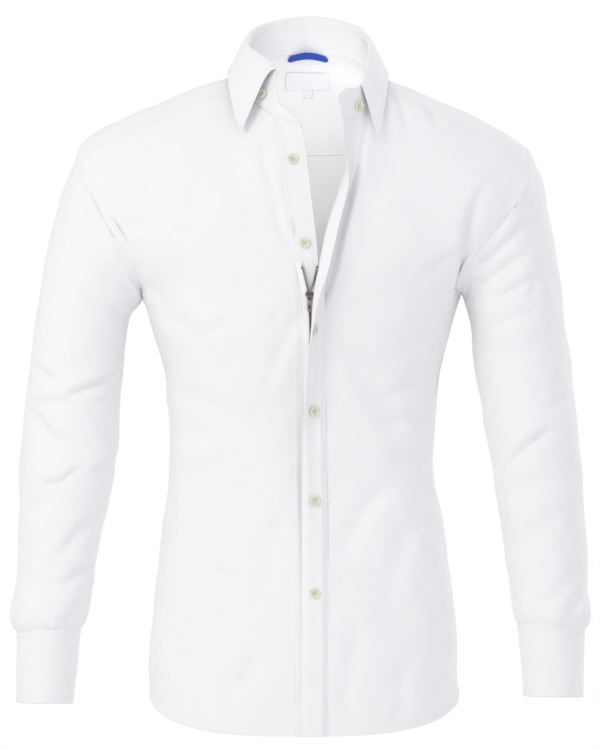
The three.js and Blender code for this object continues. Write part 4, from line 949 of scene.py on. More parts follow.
def joined(name, meshes):
    """One mesh of several, each with the material that it has."""
    build = bmesh.new()
    materials = []
    for mesh in meshes:
        first = len(build.faces)
        build.from_mesh(mesh)
        build.faces.ensure_lookup_table()
        here = mesh.materials[0] if mesh.materials else None
        if here not in materials:
            materials.append(here)
        for face in build.faces[first:]:
            face.material_index = materials.index(here)
    out = bpy.data.meshes.new(name)
    build.to_mesh(out)
    build.free()
    for material in materials:
        out.materials.append(material)
    return out


# ------------------------------------------------------------------ shader groups
class Nodes:
    """Adds nodes to a tree in few words."""

    def __init__(self, tree):
        self.tree = tree

    def add(self, kind, inputs=None, **settings):
        node = self.tree.nodes.new(kind)
        for name, value in settings.items():
            setattr(node, name, value)
        for name, value in (inputs or {}).items():
            self.put(node.inputs[name], value)
        return node

    def put(self, socket, value):
        if isinstance(value, bpy.types.NodeSocket):
            self.tree.links.new(value, socket)
        else:
            socket.default_value = value

    def maths(self, operation, *values, clamp=False):
        inputs = dict(enumerate(values))
        return self.add("ShaderNodeMath", inputs, operation=operation, use_clamp=clamp).outputs[0]

    def ramp(self, value, low, high):
        """The value taken from low..high to 0..1."""
        inputs = {"Value": value, "From Min": low, "From Max": high}
        return self.add("ShaderNodeMapRange", inputs).outputs["Result"]

    def noise(self, place, scale, detail, **inputs):
        inputs = {"Vector": place, "Scale": scale, "Detail": detail, **inputs}
        return self.add("ShaderNodeTexNoise", inputs).outputs["Fac"]

    def bump(self, height, distance, strength, **inputs):
        inputs = {"Height": height, "Distance": distance, "Strength": strength, **inputs}
        return self.add("ShaderNodeBump", inputs).outputs["Normal"]

    def place(self, kind):
        return self.add("ShaderNodeTexCoord").outputs[kind]


def new_tree(name, kind, inputs, outputs):
    """A new node tree. inputs has (name, socket type, default), outputs (name, socket type)."""
    tree = bpy.data.node_groups.new(name, kind)
    for label, socket_type, default in inputs:
        socket = tree.interface.new_socket(label, in_out="INPUT", socket_type=socket_type)
        if default is not None:
            socket.default_value = default
    for label, socket_type in outputs:
        tree.interface.new_socket(label, in_out="OUTPUT", socket_type=socket_type)
    nodes = Nodes(tree)
    return tree, nodes, nodes.add("NodeGroupInput").outputs, nodes.add("NodeGroupOutput").inputs


def float_sockets(*pairs):
    return [(pair[0], "NodeSocketFloat", *pair[1:]) for pair in pairs]


def thread_group(name):
    """Crossing threads on the UV map, uneven in thickness along their run."""
    inputs = float_sockets(("Pitch", 0.0004), ("Slub Length", 0.02))
    _, nodes, given, result = new_tree(
        name, "ShaderNodeTree", inputs, float_sockets(("Shade",), ("Height",)))
    axes = nodes.add("ShaderNodeSeparateXYZ", {0: nodes.place("UV")}).outputs
    waves, slubs = [], []
    for run, cross in ((0, 1), (1, 0)):
        turns = nodes.maths("DIVIDE", axes[cross], given["Pitch"])
        waves.append(nodes.maths("SINE", nodes.maths("MULTIPLY", turns, 2 * math.pi)))
        thread = nodes.maths("DIVIDE", axes[cross], nodes.maths("MULTIPLY", given["Pitch"], 3))
        stretch = nodes.maths("DIVIDE", axes[run], given["Slub Length"])
        place = nodes.add("ShaderNodeCombineXYZ", {0: thread, 1: stretch, 2: float(run)}).outputs[0]
        slubs.append(nodes.noise(place, 1, 2))
    weave = nodes.maths("MULTIPLY", *waves)
    half = nodes.maths("MULTIPLY", nodes.maths("ADD", *slubs), 0.5)
    lifted = nodes.maths("MULTIPLY_ADD", weave, 0.25, 0.5)
    nodes.put(result["Height"], nodes.maths("ADD", nodes.maths("MULTIPLY", lifted, 0.5), half))
    nodes.put(result["Shade"], nodes.maths("MULTIPLY_ADD", weave, 0.12, half))


def crumple_group(name):
    """Small soft wrinkles left by wear, as a height in Object coordinates."""
    _, nodes, given, result = new_tree(
        name, "ShaderNodeTree", float_sockets(("Size", 0.03)), float_sockets(("Height",)))
    scale = nodes.maths("DIVIDE", 1.0, given["Size"])
    noise = nodes.noise(nodes.place("Object"), scale, 3, Distortion=0.6)
    nodes.put(result["Height"], nodes.ramp(noise, 0.3, 0.7))


def wear_group(name):
    """Fine scratches and cloudy handling marks for metal and shell, in Object coordinates."""
    _, nodes, given, result = new_tree(
        name, "ShaderNodeTree", float_sockets(("Size", 0.002)), float_sockets(("Marks",), ("Cloud",)))
    place = nodes.place("Object")
    scale = nodes.maths("DIVIDE", 1.0, given["Size"])
    stretched = {"Vector": place, "Rotation": (0.3, 0.7, 0.2), "Scale": (1, 1, 9)}
    streaks = nodes.add("ShaderNodeMapping", stretched).outputs[0]
    fine = nodes.noise(streaks, nodes.maths("MULTIPLY", scale, 2), 4)
    nodes.put(result["Marks"], nodes.ramp(fine, 0.35, 0.65))
    nodes.put(result["Cloud"], nodes.ramp(nodes.noise(place, scale, 3), 0.3, 0.7))


GROUPS = {"Woven Threads": thread_group, "Soft Crumple": crumple_group, "Handled Surface": wear_group}


def shared(nodes, name):
    """A node of a shared shader group, which is built once."""
    if name not in bpy.data.node_groups:
        GROUPS[name](name)
    return nodes.add("ShaderNodeGroup", node_tree=bpy.data.node_groups[name])


# ------------------------------------------------------------------ materials
def set_sockets(nodes, shader, **values):
    """Gives values or links to a shader's sockets, named with _ for each space."""
    for socket, value in values.items():
        nodes.put(shader.inputs[socket.replace("_", " ")], value)


def material(name, **constants):
    """A new material, its nodes and its Principled shader with its constant values."""
    made = bpy.data.materials.new(name)
    made.use_nodes = True
    nodes = Nodes(made.node_tree)
    shader = made.node_tree.nodes["Principled BSDF"]
    set_sockets(nodes, shader, **constants)
    return made, nodes, shader


def shaded(nodes, colour, shade, amount):
    """A colour made a little lighter and darker by a value about a half."""
    low, high = (tuple(min(c * (1 + way * amount), 1) for c in colour[:3]) + (1,) for way in (-1, 1))
    mixed = nodes.add("ShaderNodeMix", {"Factor": shade, 6: low, 7: high}, data_type="RGBA")
    return mixed.outputs[2]


def roughened(nodes, value, roughness, spread):
    """A roughness that varies by a value about a half."""
    return nodes.maths("MULTIPLY_ADD", value, spread, roughness - spread / 2)


def woven(name, colour, threads, contrast, relief, crumple, **constants):
    """Plain-woven cloth: threads, slubs and small soft wrinkles."""
    _, nodes, shader = material(name, **constants)
    weave = shared(nodes, "Woven Threads")
    weave.inputs["Pitch"].default_value = threads * bpy.context.scene.shirt_cloth.thread_pitch
    shade, height = weave.outputs["Shade"], weave.outputs["Height"]
    wrinkles = nodes.bump(shared(nodes, "Soft Crumple").outputs["Height"], crumple, 1.0)
    set_sockets(nodes, shader, Base_Color=shaded(nodes, colour, shade, contrast),
                Roughness=roughened(nodes, shade, constants["Roughness"], 0.12),
                Normal=nodes.bump(height, relief, 0.6, Normal=wrinkles))


def handled(name, colour, contrast, relief, **constants):
    """Metal or shell with cloudy colour and fine marks."""
    _, nodes, shader = material(name, **constants)
    marks = shared(nodes, "Handled Surface").outputs
    set_sockets(nodes, shader, Base_Color=shaded(nodes, colour, marks["Cloud"], contrast),
                Roughness=roughened(nodes, marks["Marks"], constants["Roughness"], 0.16),
                Normal=nodes.bump(marks["Marks"], relief, 0.5))


# How each finish is made, its colour's setting, its own sizes and its shader's constants.
# Cloth has (threads to a pitch, contrast, relief, crumple), the rest (contrast, relief).
FINISHES = {
    "white poplin": (woven, "colour", (1, 0.015, 0.00003, 0.0003), dict(
        Roughness=0.72, Sheen_Weight=0.18, Sheen_Roughness=0.45, Specular_IOR_Level=0.3)),
    "white thread": (woven, "thread_colour", (1, 0.05, 0.00005, 0.0), dict(
        Roughness=0.55, Sheen_Weight=0.1, Specular_IOR_Level=0.4)),
    "zip tape": (woven, "tape_colour", (2, 0.06, 0.0001, 0.0001), dict(
        Roughness=0.75, Sheen_Weight=0.15, Specular_IOR_Level=0.3)),
    "blue ribbon": (woven, "loop_colour", (2, 0.35, 0.00012, 0.0002), dict(
        Roughness=0.5, Sheen_Weight=0.2, Specular_IOR_Level=0.4)),
    "label satin": (woven, "label_colour", (1, 0.05, 0.00008, 0.0002), dict(
        Roughness=0.5, Sheen_Weight=0.15, Specular_IOR_Level=0.45)),
    "dark nickel": (handled, "nickel_colour", (0.35, 0.00003), dict(Roughness=0.34, Metallic=1.0)),
    "rose metal": (handled, "pull_colour", (0.18, 0.00002), dict(Roughness=0.3, Metallic=1.0)),
    "pearl shell": (handled, "button_colour", (0.12, 0.00002), dict(
        Roughness=0.22, Coat_Weight=0.4, Coat_Roughness=0.08, Specular_IOR_Level=0.6)),
}


def finish(name):
    """A material of the shirt by its name, made when it is first asked for."""
    if name not in bpy.data.materials:
        make, colour, sizes, constants = FINISHES[name]
        scene = bpy.context.scene
        settings = scene.shirt_cloth if colour == "colour" else scene.shirt_trims
        make(name, getattr(settings, colour), *sizes, **constants)
    return bpy.data.materials[name]


# ------------------------------------------------------------------ geometry node trees
def instance_tree(name, *inputs):
    """An empty tree of Geometry Nodes whose first input and output are geometry."""
    inputs = [
        ("Geometry", "NodeSocketGeometry", None), ("Shape", "NodeSocketObject", None),
        ("Material", "NodeSocketMaterial", None), *inputs,
    ]
    return new_tree(name, "GeometryNodeTree", inputs, [("Geometry", "NodeSocketGeometry")])


def attribute(nodes, name, kind):
    node = nodes.add("GeometryNodeInputNamedAttribute", {"Name": name}, data_type=kind)
    return node.outputs["Attribute"]


def facing_outwards(nodes):
    inputs = {"Vector": attribute(nodes, "outward", "FLOAT_VECTOR")}
    return nodes.add("FunctionNodeAlignRotationToVector", inputs, axis="Z").outputs["Rotation"]


def instances(nodes, given, result, **inputs):
    """Ends a tree with its shape at each point, in its material."""
    shape = nodes.add("GeometryNodeObjectInfo", {"Object": given["Shape"], "As Instance": True})
    inputs["Instance"] = shape.outputs["Geometry"]
    copies = nodes.add("GeometryNodeInstanceOnPoints", inputs)
    whole = nodes.add("GeometryNodeRealizeInstances", {"Geometry": copies.outputs[0]})
    coloured = {"Geometry": whole.outputs[0], "Material": given["Material"]}
    nodes.put(result["Geometry"], nodes.add("GeometryNodeSetMaterial", coloured).outputs["Geometry"])


def placed_tree(name):
    """Instances an object at even steps along paths, turned to the path and the cloth."""
    tree, nodes, given, result = instance_tree(
        name, ("Seed", "NodeSocketInt", 1), *float_sockets(("Pitch", 0.0028), ("Unevenness", 0.0)))
    path = nodes.add("GeometryNodeMeshToCurve", {"Mesh": given["Geometry"]}).outputs["Curve"]
    by_length = {"Curve": path, "Length": given["Pitch"]}
    even = nodes.add("GeometryNodeResampleCurve", by_length, mode="LENGTH").outputs["Curve"]
    held = nodes.add("GeometryNodeCaptureAttribute", {"Geometry": even})
    held.capture_items.new("VECTOR", "Tangent")
    nodes.put(held.inputs["Tangent"], nodes.add("GeometryNodeInputTangent").outputs[0])
    curve = {"Curve": held.outputs["Geometry"]}
    points = nodes.add("GeometryNodeCurveToPoints", curve, mode="EVALUATED").outputs["Points"]
    turn = nodes.add("FunctionNodeAlignRotationToVector", {
        "Rotation": facing_outwards(nodes), "Vector": held.outputs["Tangent"],
    }, axis="X", pivot_axis="Z")
    limits = {"Min": (-1, -1, -1), "Max": (1, 1, 1), "Seed": given["Seed"]}
    uneven = nodes.add("FunctionNodeRandomValue", limits, data_type="FLOAT_VECTOR").outputs[0]
    by = nodes.add("ShaderNodeVectorMath", {0: uneven, "Scale": given["Unevenness"]}, operation="SCALE")
    size = nodes.add("ShaderNodeVectorMath", {0: by.outputs[0], 1: (1, 1, 1)}, operation="ADD")
    instances(nodes, given, result, Points=points, Rotation=turn.outputs[0], Scale=size.outputs[0])
    return tree


def scattered_tree(name):
    """Instances an object at single points, turned to each point's outward way."""
    tree, nodes, given, result = instance_tree(name)
    spin = {"Axis": (0, 0, 1), "Angle": attribute(nodes, "spin", "FLOAT")}
    twist = nodes.add("FunctionNodeAxisAngleToRotation", spin).outputs["Rotation"]
    both = {"Rotation": facing_outwards(nodes), "Rotate By": twist}
    rotation = nodes.add("FunctionNodeRotateRotation", both, rotation_space="LOCAL").outputs["Rotation"]
    points = nodes.add("GeometryNodeMeshToPoints", {"Mesh": given["Geometry"]}).outputs["Points"]
    instances(nodes, given, result, Points=points, Rotation=rotation)
    return tree


def run_tree(name, base, tree, values):
    """The plain mesh that a tree makes of a base object. Its inputs are set by identifier."""
    modifier = base.modifiers.new("make", "NODES")
    modifier.node_group = tree
    for item in tree.interface.items_tree:
        if item.item_type == "SOCKET" and item.in_out == "INPUT" and item.name in values:
            modifier[item.identifier] = values[item.name]
    return baked(base, name)


def path_object(name, paths, **spins):
    """Edges along paths of (points, outward ways), in millimetres, with named numbers."""
    edges, first = [], 0
    for path, _ in paths:
        edges.extend((first + i, first + i + 1) for i in range(len(path) - 1))
        first += len(path)
    mesh = bpy.data.meshes.new(name)
    mesh.from_pydata(np.concatenate([path * MM for path, _ in paths]).tolist(), edges, [])
    held = mesh.attributes.new("outward", "FLOAT_VECTOR", "POINT")
    held.data.foreach_set("vector", np.concatenate([ways for _, ways in paths]).reshape(-1))
    for label, values in spins.items():
        mesh.attributes.new(label, "FLOAT", "POINT").data.foreach_set("value", values)
    return link(name, mesh)


# ------------------------------------------------------------------ small shapes
def smooth_mesh(name, build):
    mesh = bpy.data.meshes.new(name)
    build.to_mesh(mesh)
    build.free()
    mesh.shade_smooth()
    return mesh


def circle(sides):
    return [2 * math.pi * i / sides for i in range(sides)]


def lofted(name, rings):
    """A closed shape through rings of points in metres. A ring may be a single point."""
    build = bmesh.new()
    loops = [[build.verts.new(place) for place in ring] for ring in rings]
    for one, two in zip(loops, loops[1:]):
        for i in range(max(len(one), len(two))):
            places = ((one, i), (one, i + 1), (two, i + 1), (two, i))
            build.faces.new(dict.fromkeys(loop[k % len(loop)] for loop, k in places))
    for end in (loops[0], loops[-1]):
        if len(end) > 1:
            build.faces.new(end)
    bmesh.ops.recalc_face_normals(build, faces=build.faces)
    return smooth_mesh(name, build)


def capsule(name, length, width, height, sides=6):
    """A stitch lying along X: a closed bead with tapered ends."""
    return lofted(name, [[
        (x * length * MM, math.cos(a) * girth * width / 2 * MM, math.sin(a) * girth * height / 2 * MM)
        for a in circle(sides if girth else 1)] for x, girth in STITCH_SECTION])


def lathe(name, section, sides):
    """A closed turned shape about +Z from half its section, in millimetres."""
    return lofted(name, [[
        (out * MM * math.cos(a), out * MM * math.sin(a), up * MM)
        for a in circle(sides if out else 1)] for out, up in section])


def tube(name, path, radius, sides=8):
    """A closed round tube through points, in millimetres."""
    path = np.array(path, float)
    ways = unit(np.gradient(path, axis=0))
    side = unit(np.cross(ways, [0.31, 0.2, 0.93]))
    up = np.cross(ways, side)
    return lofted(name, [[
        (here + radius * (math.cos(a) * side[i] + math.sin(a) * up[i])) * MM
        for a in circle(sides)] for i, here in enumerate(path)])


def plate(name, outlines, thick, bevel):
    """A flat plate in XY with rounded edges. The outlines after the first are its holes."""
    curve = bpy.data.curves.new(name, "CURVE")
    curve.dimensions = "2D"
    curve.fill_mode = "BOTH"
    curve.extrude = (thick / 2 - bevel) * MM
    curve.bevel_depth = bevel * MM
    curve.bevel_resolution = 2
    curve.offset = -bevel * MM
    for outline in outlines:
        spline = curve.splines.new("POLY")
        spline.points.add(len(outline) - 1)
        for node, (x, y) in zip(spline.points, outline):
            node.co = (x * MM, y * MM, 0, 1)
        spline.use_cyclic_u = True
    flat = baked(link(name, curve), name)
    mesh = flat.data
    bpy.data.objects.remove(flat)
    build = bmesh.new()
    build.from_mesh(mesh)
    bmesh.ops.remove_doubles(build, verts=build.verts, dist=0.00001)
    bmesh.ops.recalc_face_normals(build, faces=build.faces)
    build.to_mesh(mesh)
    build.free()
    return mesh


def arc(middle, radius, start, end, count=12, squash=1.0):
    turns = np.radians(np.linspace(start, end, count + 1))
    return [(middle[0] + radius * math.cos(a), middle[1] + radius * squash * math.sin(a)) for a in turns]


# ------------------------------------------------------------------ the shirt's pieces
def neck_path():
    """The neck seam from the band's front corner round the neck to the placket's free edge."""
    down_neck = np.linspace(0, FRONT_NECK_PART, 12)
    u = np.linspace(1, 0, 12)
    band = band_at(u, BAND_TOP + BAND_TOP_DROP * u)
    right = front_at(RIGHT, 0, down_neck[::-1])
    across = yoke_at(np.linspace(-YOKE_NECK_SHARE, YOKE_NECK_SHARE, 80), 0.0)
    left = front_at(LEFT, 0, down_neck)
    distance = np.linspace(0, PLACKET_WIDTH, 14)
    placket = placket_at(distance, PLACKET_TOP + PLACKET_TOP_DROP * distance / PLACKET_WIDTH)
    return np.concatenate([band[:-1], right[:-1], across[:-1], left[:-1], placket])


def stand_at(share, rise):
    foot = along(neck_path(), np.clip(share, 0, 1))
    top = spot(stand.x(share), stand.y(share), stand.z(share))
    return mix(foot, top, np.asarray(rise)[..., None])


def leaf_grid(shares, falls):
    """The collar leaf: rolled over the top of the stand, then down to its free edge."""
    top = stand_at(shares, np.ones_like(shares))
    edge = spot(leaf.x(shares), leaf.y(shares), leaf.z(shares))
    turn = LEAF_TURN
    away = unit((edge - top) * (1, turn.forward, 0))
    up = np.array([0, 0, 1.0])
    bow = leaf.bow(shares)[:, None]
    place, breadth, height = LEAF_CROWN
    peak = height * np.exp(-(((shares[:, None] - place) / breadth) ** 2))
    start = top - away * turn.inset + up * (turn.above + peak)
    crown = top + away * turn.over * bow + up * (turn.above + turn.rise + peak)
    flank_spot = mix(top, edge, turn.part) + away * turn.out * bow
    run = np.gradient(top, axis=0)
    beyond = unit(spot(-run[:, 1], run[:, 0], 0))
    roll = [top + beyond * out + up * (rise + part * peak) for out, rise, part in LEAF_ROLL]
    fall = falls[:, None, None]
    body = ((1 - fall) ** 3 * start + 3 * (1 - fall) ** 2 * fall * crown
            + 3 * (1 - fall) * fall**2 * flank_spot + fall**3 * edge)
    return np.concatenate([roll, body])


def armhole_path(side, inset):
    """The seam round an armhole, or a line beside it inside the panels: down the front, up
    the back and over the yoke."""
    top_outer = -(ridge.height(SHOULDER_OUT) - YOKE_FRONT_DROP)
    across = 1 - inset / (SHOULDER_OUT - NECK_OUT)
    front = front_at(side, across, np.linspace(0, (ARMPIT - top_outer) / (SIDE_HEM - top_outer), 50))
    across = side * (1 - inset / SHOULDER_OUT)
    back = back_at(across, np.linspace((ARMPIT - YOKE_BACK) / (SIDE_HEM - YOKE_BACK), 0, 50))
    yoke = yoke_at(across, np.linspace(1, 0, 50))
    return np.concatenate([front[:-1], back[:-1], yoke[:-1]]), len(front) - 1


def armhole_rings(side, angles):
    """Rings at angles round the sleeve, 0 at the top and pi at the armpit: the armhole's
    seam, and two that lie below the edge of the body."""
    seam, pit = armhole_path(side, 0)
    inwards = armhole_path(side, UNDER_ARMHOLE[-1][0])[0] - seam
    ways = side * unit(np.cross(inwards, np.roll(seam, -1, axis=0) - np.roll(seam, 1, axis=0)))
    top = int(np.argmax(seam[:, 2]))
    pit = (pit - top) % len(seam)
    closed = np.append(np.arange(len(seam)), 0)
    run = lengths(np.roll(seam, -top, axis=0)[closed])
    share = np.where(angles <= math.pi, angles / math.pi * run[pit],
                     run[pit] + (angles / math.pi - 1) * (run[-1] - run[pit]))
    rings = []
    for path in (seam, *(armhole_path(side, inset)[0] - ways * drop for inset, drop in UNDER_ARMHOLE)):
        path = np.roll(path, -top, axis=0)[closed]
        rings.append(np.stack([np.interp(share, run, path[:, k]) for k in range(3)], axis=-1))
    return rings


def sleeve_grid(side, columns=150):
    angles = np.arange(columns) / columns * 2 * math.pi
    if side == RIGHT:
        angles = -angles % (2 * math.pi)
    seam, *under = armhole_rings(side, angles)
    first = mix(seam, oval(side, ring_at(side, 1), angles), SLEEVE_FIRST_BLEND)
    places = np.arange(1.5, SLEEVE_LAST_RING + 0.1, 0.5)
    rings = [oval(side, ring_at(side, place), angles) for place in places]
    coarse = np.stack([seam, first, *rings])
    at = np.concatenate([[0, 1], places])
    run = lengths(coarse.mean(axis=1))
    shares = stations(run[-1], PANEL_STEP)
    return between(at, coarse, np.interp(shares * run[-1], run, at)), angles, under


def pouch(grid, angles, side, settings):
    """The sleeve's fullness above its cuff: it swells, gathers in small pleats and tucks in."""
    off = from_edge(grid, "foot")
    swell = SWELL[side] * ramp(off, 58, 14) * ramp(off, 0, 9) - POUCH_TUCK * ramp(off, 4, 0)
    outside = 0.4 + 0.6 * np.cos(angles)
    turns = PLEATS * angles + PLEAT_SWING * np.sin(2 * angles) + side
    pleats = PLEAT_HEIGHT * np.sin(turns) * ramp(off, 46, 6) * ramp(off, 0, 3)
    small = GATHER_HEIGHT * np.sin(GATHERS * angles + side) * ramp(off, 20, 2) * ramp(off, 0, 4)
    head = from_edge(grid, "top")
    ease = SLEEVE_HEAD * ramp(head, 0, 3) * ramp(head, 26, 6)
    return settings.crease_depth * (swell * outside + pleats + small) + ease


def cuff_grid(side):
    turns = 360 * np.arange(0, 1.0001, 1 / 120)
    turns = np.concatenate([turns, 360 + CUFF_OVERLAP * np.arange(0.1, 1.01, 0.1)])
    top = ring_at(side, SLEEVE_LAST_RING)
    rings = []
    for v in stations(ROUGH_SIZES["cuff"], TRIM_STEP):
        ring = {name: mix(top[name], CUFF_ENDS[side][name], v) for name in CUFF_ENDS[side]}
        rings.append(oval(side, ring, np.radians(turns + 360 - CUFF_OVERLAP_AT)))
    grid = np.stack(rings)
    proud = CUFF_STEP * ramp(turns, 360 - CUFF_RAMP, 360)
    if side == RIGHT:
        grid = grid[:, ::-1]
        proud = proud[::-1]
    return grid + outwards(grid) * proud[None, :, None]


def calm_side(down):
    """How calm a panel's outer edge is: wholly beside the armhole, not at all below it."""
    return 1 - ramp(down, *CALM_FOOT)


def make_fronts(scene):
    for side, word in SIDES:
        make_front(side, word, scene.shirt_cloth)


def make_front(side, word, settings):
    v, u = panel_shares("front", PANEL_STEP, PANEL_STEP)
    grid = front_at(side, np.sin(u * math.pi / 2), v)
    below_neck = smooth((v[:, 0] - FRONT_NECK_PART) / 0.01)
    inner, outer = "start", "end"
    if side == LEFT:
        grid = grid[:, ::-1]
        inner, outer = outer, inner
        below_neck = below_neck[::-1]
    top_outer = YOKE_FRONT_DROP - ridge.height(SHOULDER_OUT)
    panel(f"front_{word}", grid, settings, SINGLE,
          stitched=(("foot", HEM_INSET, 0.35), (outer, ARMHOLE_INSET, 0.3)),
          calm=((outer, calm_side(mix(top_outer, SIDE_HEM, v))),),
          tucks=((inner, 6, below_neck), ("top", 5, 1)))


def both_ways(share):
    """From -1 at the right side to 1 at the left, closer together by the sides."""
    return np.sin((share * 2 - 1) * math.pi / 2)


def make_back(scene):
    v, u = panel_shares("back", PANEL_STEP, PANEL_STEP)
    down = mix(YOKE_BACK, SIDE_HEM, v)
    below_arm = ramp(down[:, 0], ARMPIT - 6, ARMPIT + 6)
    panel("back", back_at(both_ways(u), v), scene.shirt_cloth, SINGLE,
          stitched=(("foot", HEM_INSET, 0.35),),
          calm=(("start", calm_side(down)), ("end", calm_side(down))),
          tucks=(("start", 6, below_arm), ("end", 6, below_arm[::-1]), ("top", 5, 0.35)))


def make_yoke(scene):
    v, u = panel_shares("yoke", TRIM_STEP * 1.3, PANEL_STEP)
    t = both_ways(u)
    grid = yoke_at(t, v)
    stitched = (("foot", YOKE_INSET, 0.4), ("start", ARMHOLE_INSET, 0.3), ("end", ARMHOLE_INSET, 0.3))
    cut = sewn(grid, scene.shirt_cloth, stitched=stitched, calm=(("start", 1), ("end", 1)))
    front_seam = (np.abs(t[0]) > YOKE_NECK_SHARE)[None, :, None]
    lift = SEAM_LIFT * ramp(from_edge(cut, "top"), 3, 0.5)[..., None] * front_seam
    cut = cut + outwards(cut) * lift
    cloth_piece("yoke", grid, cut, LINED)
    keep_lines(cut, stitched)
    path, ways = chosen_line(cut, "top", YOKE_INSET)
    for keep in (t[0] > YOKE_NECK_SHARE + 0.01, t[0] < -YOKE_NECK_SHARE - 0.01):
        stitch_lines.append((path[keep], ways[keep]))


def make_band(scene):
    v, u = panel_shares("band", STRIP_STEP, TRIM_STEP)
    u = u[:, ::-1]
    foot = -hem(-right_inner.out(SIDE_HEM) + u * band_width.width(SIDE_HEM), FRONT_TAIL)
    grid = band_at(u, mix(BAND_TOP + BAND_TOP_DROP * u, foot, v))
    panel("button_band", grid, scene.shirt_cloth, FOLDED, crease=0.8,
          stitched=(("start", 5, 0.15), ("end", 4.5, 0.4), ("foot", HEM_INSET, 0.3)))


def make_placket(scene):
    v, u = panel_shares("placket", STRIP_STEP, 1.5)
    distance = PLACKET_WIDTH * u
    top = PLACKET_TOP + PLACKET_TOP_DROP * distance / PLACKET_WIDTH
    foot = -hem(left_inner.out(SIDE_HEM) - distance, FRONT_TAIL)
    grid = placket_at(distance, mix(top, foot, v))
    panel("placket", grid, scene.shirt_cloth, FOLDED, crease=0.6,
          stitched=(("start", 5.2, 0.45), ("end", 5.2, 0.15), ("foot", HEM_INSET, 0.3)))


def make_sleeves(scene):
    for side, word in SIDES:
        make_sleeve(side, word, scene.shirt_cloth)


def make_sleeve(side, word, settings):
    """A sleeve, the strip beside its slit and its cuff."""
    grid, angles, under = sleeve_grid(side)
    full = grid + outwards(grid, True) * pouch(grid, angles[None, :], side, settings)[..., None]
    cut = sewn(full, settings, calm=(("top", 1), ("foot", 0.5)), ring=True)
    cut = np.concatenate([under[::-1], tucked(cut, (("foot", 7, 1),), ring=True)[1:]])
    cloth_piece(f"sleeve_{word}", grid, cut, SINGLE, ring=True)

    middle = 360 - CUFF_OVERLAP_AT + CUFF_OVERLAP / 2
    turns = np.radians(middle + np.linspace(-SLIT_WIDTH / 2, SLIT_WIDTH / 2, 16))[::side]
    strip = np.stack([oval(side, ring_at(side, place), turns)
                      for place in np.linspace(*SLIT_RINGS, 60)])
    panel(f"slit_strip_{word}", strip + outwards(strip) * SLIT_RISE, settings, LINED,
          stitched=[(edge, 2, 0) for edge in ("start", "end", "top")])
    panel(f"cuff_{word}", cuff_grid(side), settings, CUFF_THICK,
          crease=0.5, stitched=[(edge, CUFF_INSET, 0.2) for edge in ("top", "foot", "start", "end")])


def make_stand(scene):
    v, u = np.broadcast_arrays(*panel_shares("stand", TRIM_STEP, TRIM_STEP))
    panel("collar_stand", stand_at(u, 1 - v), scene.shirt_cloth, COLLAR_THICK,
          crease=0.3, stitched=(("foot", 2, 0.2), ("start", 4, 0.1), ("end", 4, 0.1)))


def make_leaf(scene):
    long, wide = ROUGH_SIZES["leaf"]
    shares = mix(*LEAF["share"][[0, -1]], stations(wide, TRIM_STEP))
    grid = leaf_grid(shares, stations(long, TRIM_STEP, start=False))
    panel("collar_leaf", grid, scene.shirt_cloth, COLLAR_THICK,
          crease=0.35, stitched=[(edge, LEAF_INSET, 0.1) for edge in ("foot", "start", "end")])


def chosen_line(grid, edge, inset):
    """A line of stitches at a distance from an edge: its points and outward ways."""
    ways = turned(outwards(grid), edge)
    side = turned(grid, edge)
    off = turned(from_edge(grid, edge), edge)
    row = np.argmin(np.abs(off - inset), axis=0)
    columns = np.arange(side.shape[1])
    here = row, columns
    there = np.clip(row + np.where(off[here] < inset, 1, -1), 0, len(side) - 1), columns
    gap = off[there] - off[here]
    share = np.where(gap == 0, 0, (inset - off[here]) / np.where(gap == 0, 1, gap))[:, None]
    outward = unit(mix(ways[here], ways[there], share))
    return mix(side[here], side[there], share) + outward * STITCH_LIFT, outward


# ------------------------------------------------------------------ settings
def colour_setting(name, description, *default):
    return FloatVectorProperty(
        name=name, description=description, subtype="COLOR", size=3, min=0, max=1, default=default)


def length_setting(name, description, low, default, **limits):
    return FloatProperty(name=name, description=description, subtype="DISTANCE", unit="LENGTH",
                         min=low, default=default, **limits)


def factor_setting(name, description, default=1, **limits):
    return FloatProperty(name=name, description=description, min=0, default=default, **limits)


def power_setting(name, description, default):
    return FloatProperty(name=name, description=description, unit="POWER", default=default)


class ShirtClothSettings(bpy.types.PropertyGroup):
    """How the shirt's cloth looks and lies"""

    colour: colour_setting("Cloth colour", "Colour of the white poplin", 0.90, 0.90, 0.907)
    thread_pitch: length_setting(
        "Thread pitch", "From one thread of the weave to the next", 0.0001, 0.0004, max=0.002)
    crease_depth: factor_setting("Crease depth", "How deep the creases are, as a factor", max=2)
    rumple: factor_setting(
        "Rumple", "How much the cloth waves between its creases, as a factor", max=3)
    seed: IntProperty(name="Seed", description="Chooses the cloth's small waves", min=0, default=7)


class ShirtTrimSettings(bpy.types.PropertyGroup):
    """Thread, zip, buttons and trims"""

    stitch_pitch: length_setting("Stitch pitch", "From one stitch to the next", 0.001, 0.0026, max=0.01)
    tooth_pitch: length_setting(
        "Tooth pitch", "From one tooth of a zip chain to the next", 0.001, 0.0021, max=0.01)
    thread_colour: colour_setting("Thread colour", "Colour of the stitches", 0.86, 0.86, 0.87)
    tape_colour: colour_setting("Tape colour", "Colour of the zip's tapes", 0.92, 0.92, 0.92)
    loop_colour: colour_setting("Loop colour", "Colour of the hanger loop", 0.008, 0.06, 0.46)
    label_colour: colour_setting(
        "Label colour", "Colour of the label and the size tab", 0.86, 0.86, 0.88)
    nickel_colour: colour_setting(
        "Chain colour", "Colour of the zip's chains and slider", 0.16, 0.145, 0.14)
    pull_colour: colour_setting("Pull colour", "Colour of the zip's pull tab", 0.42, 0.29, 0.26)
    button_colour: colour_setting("Button colour", "Colour of the pearly buttons", 0.80, 0.78, 0.60)


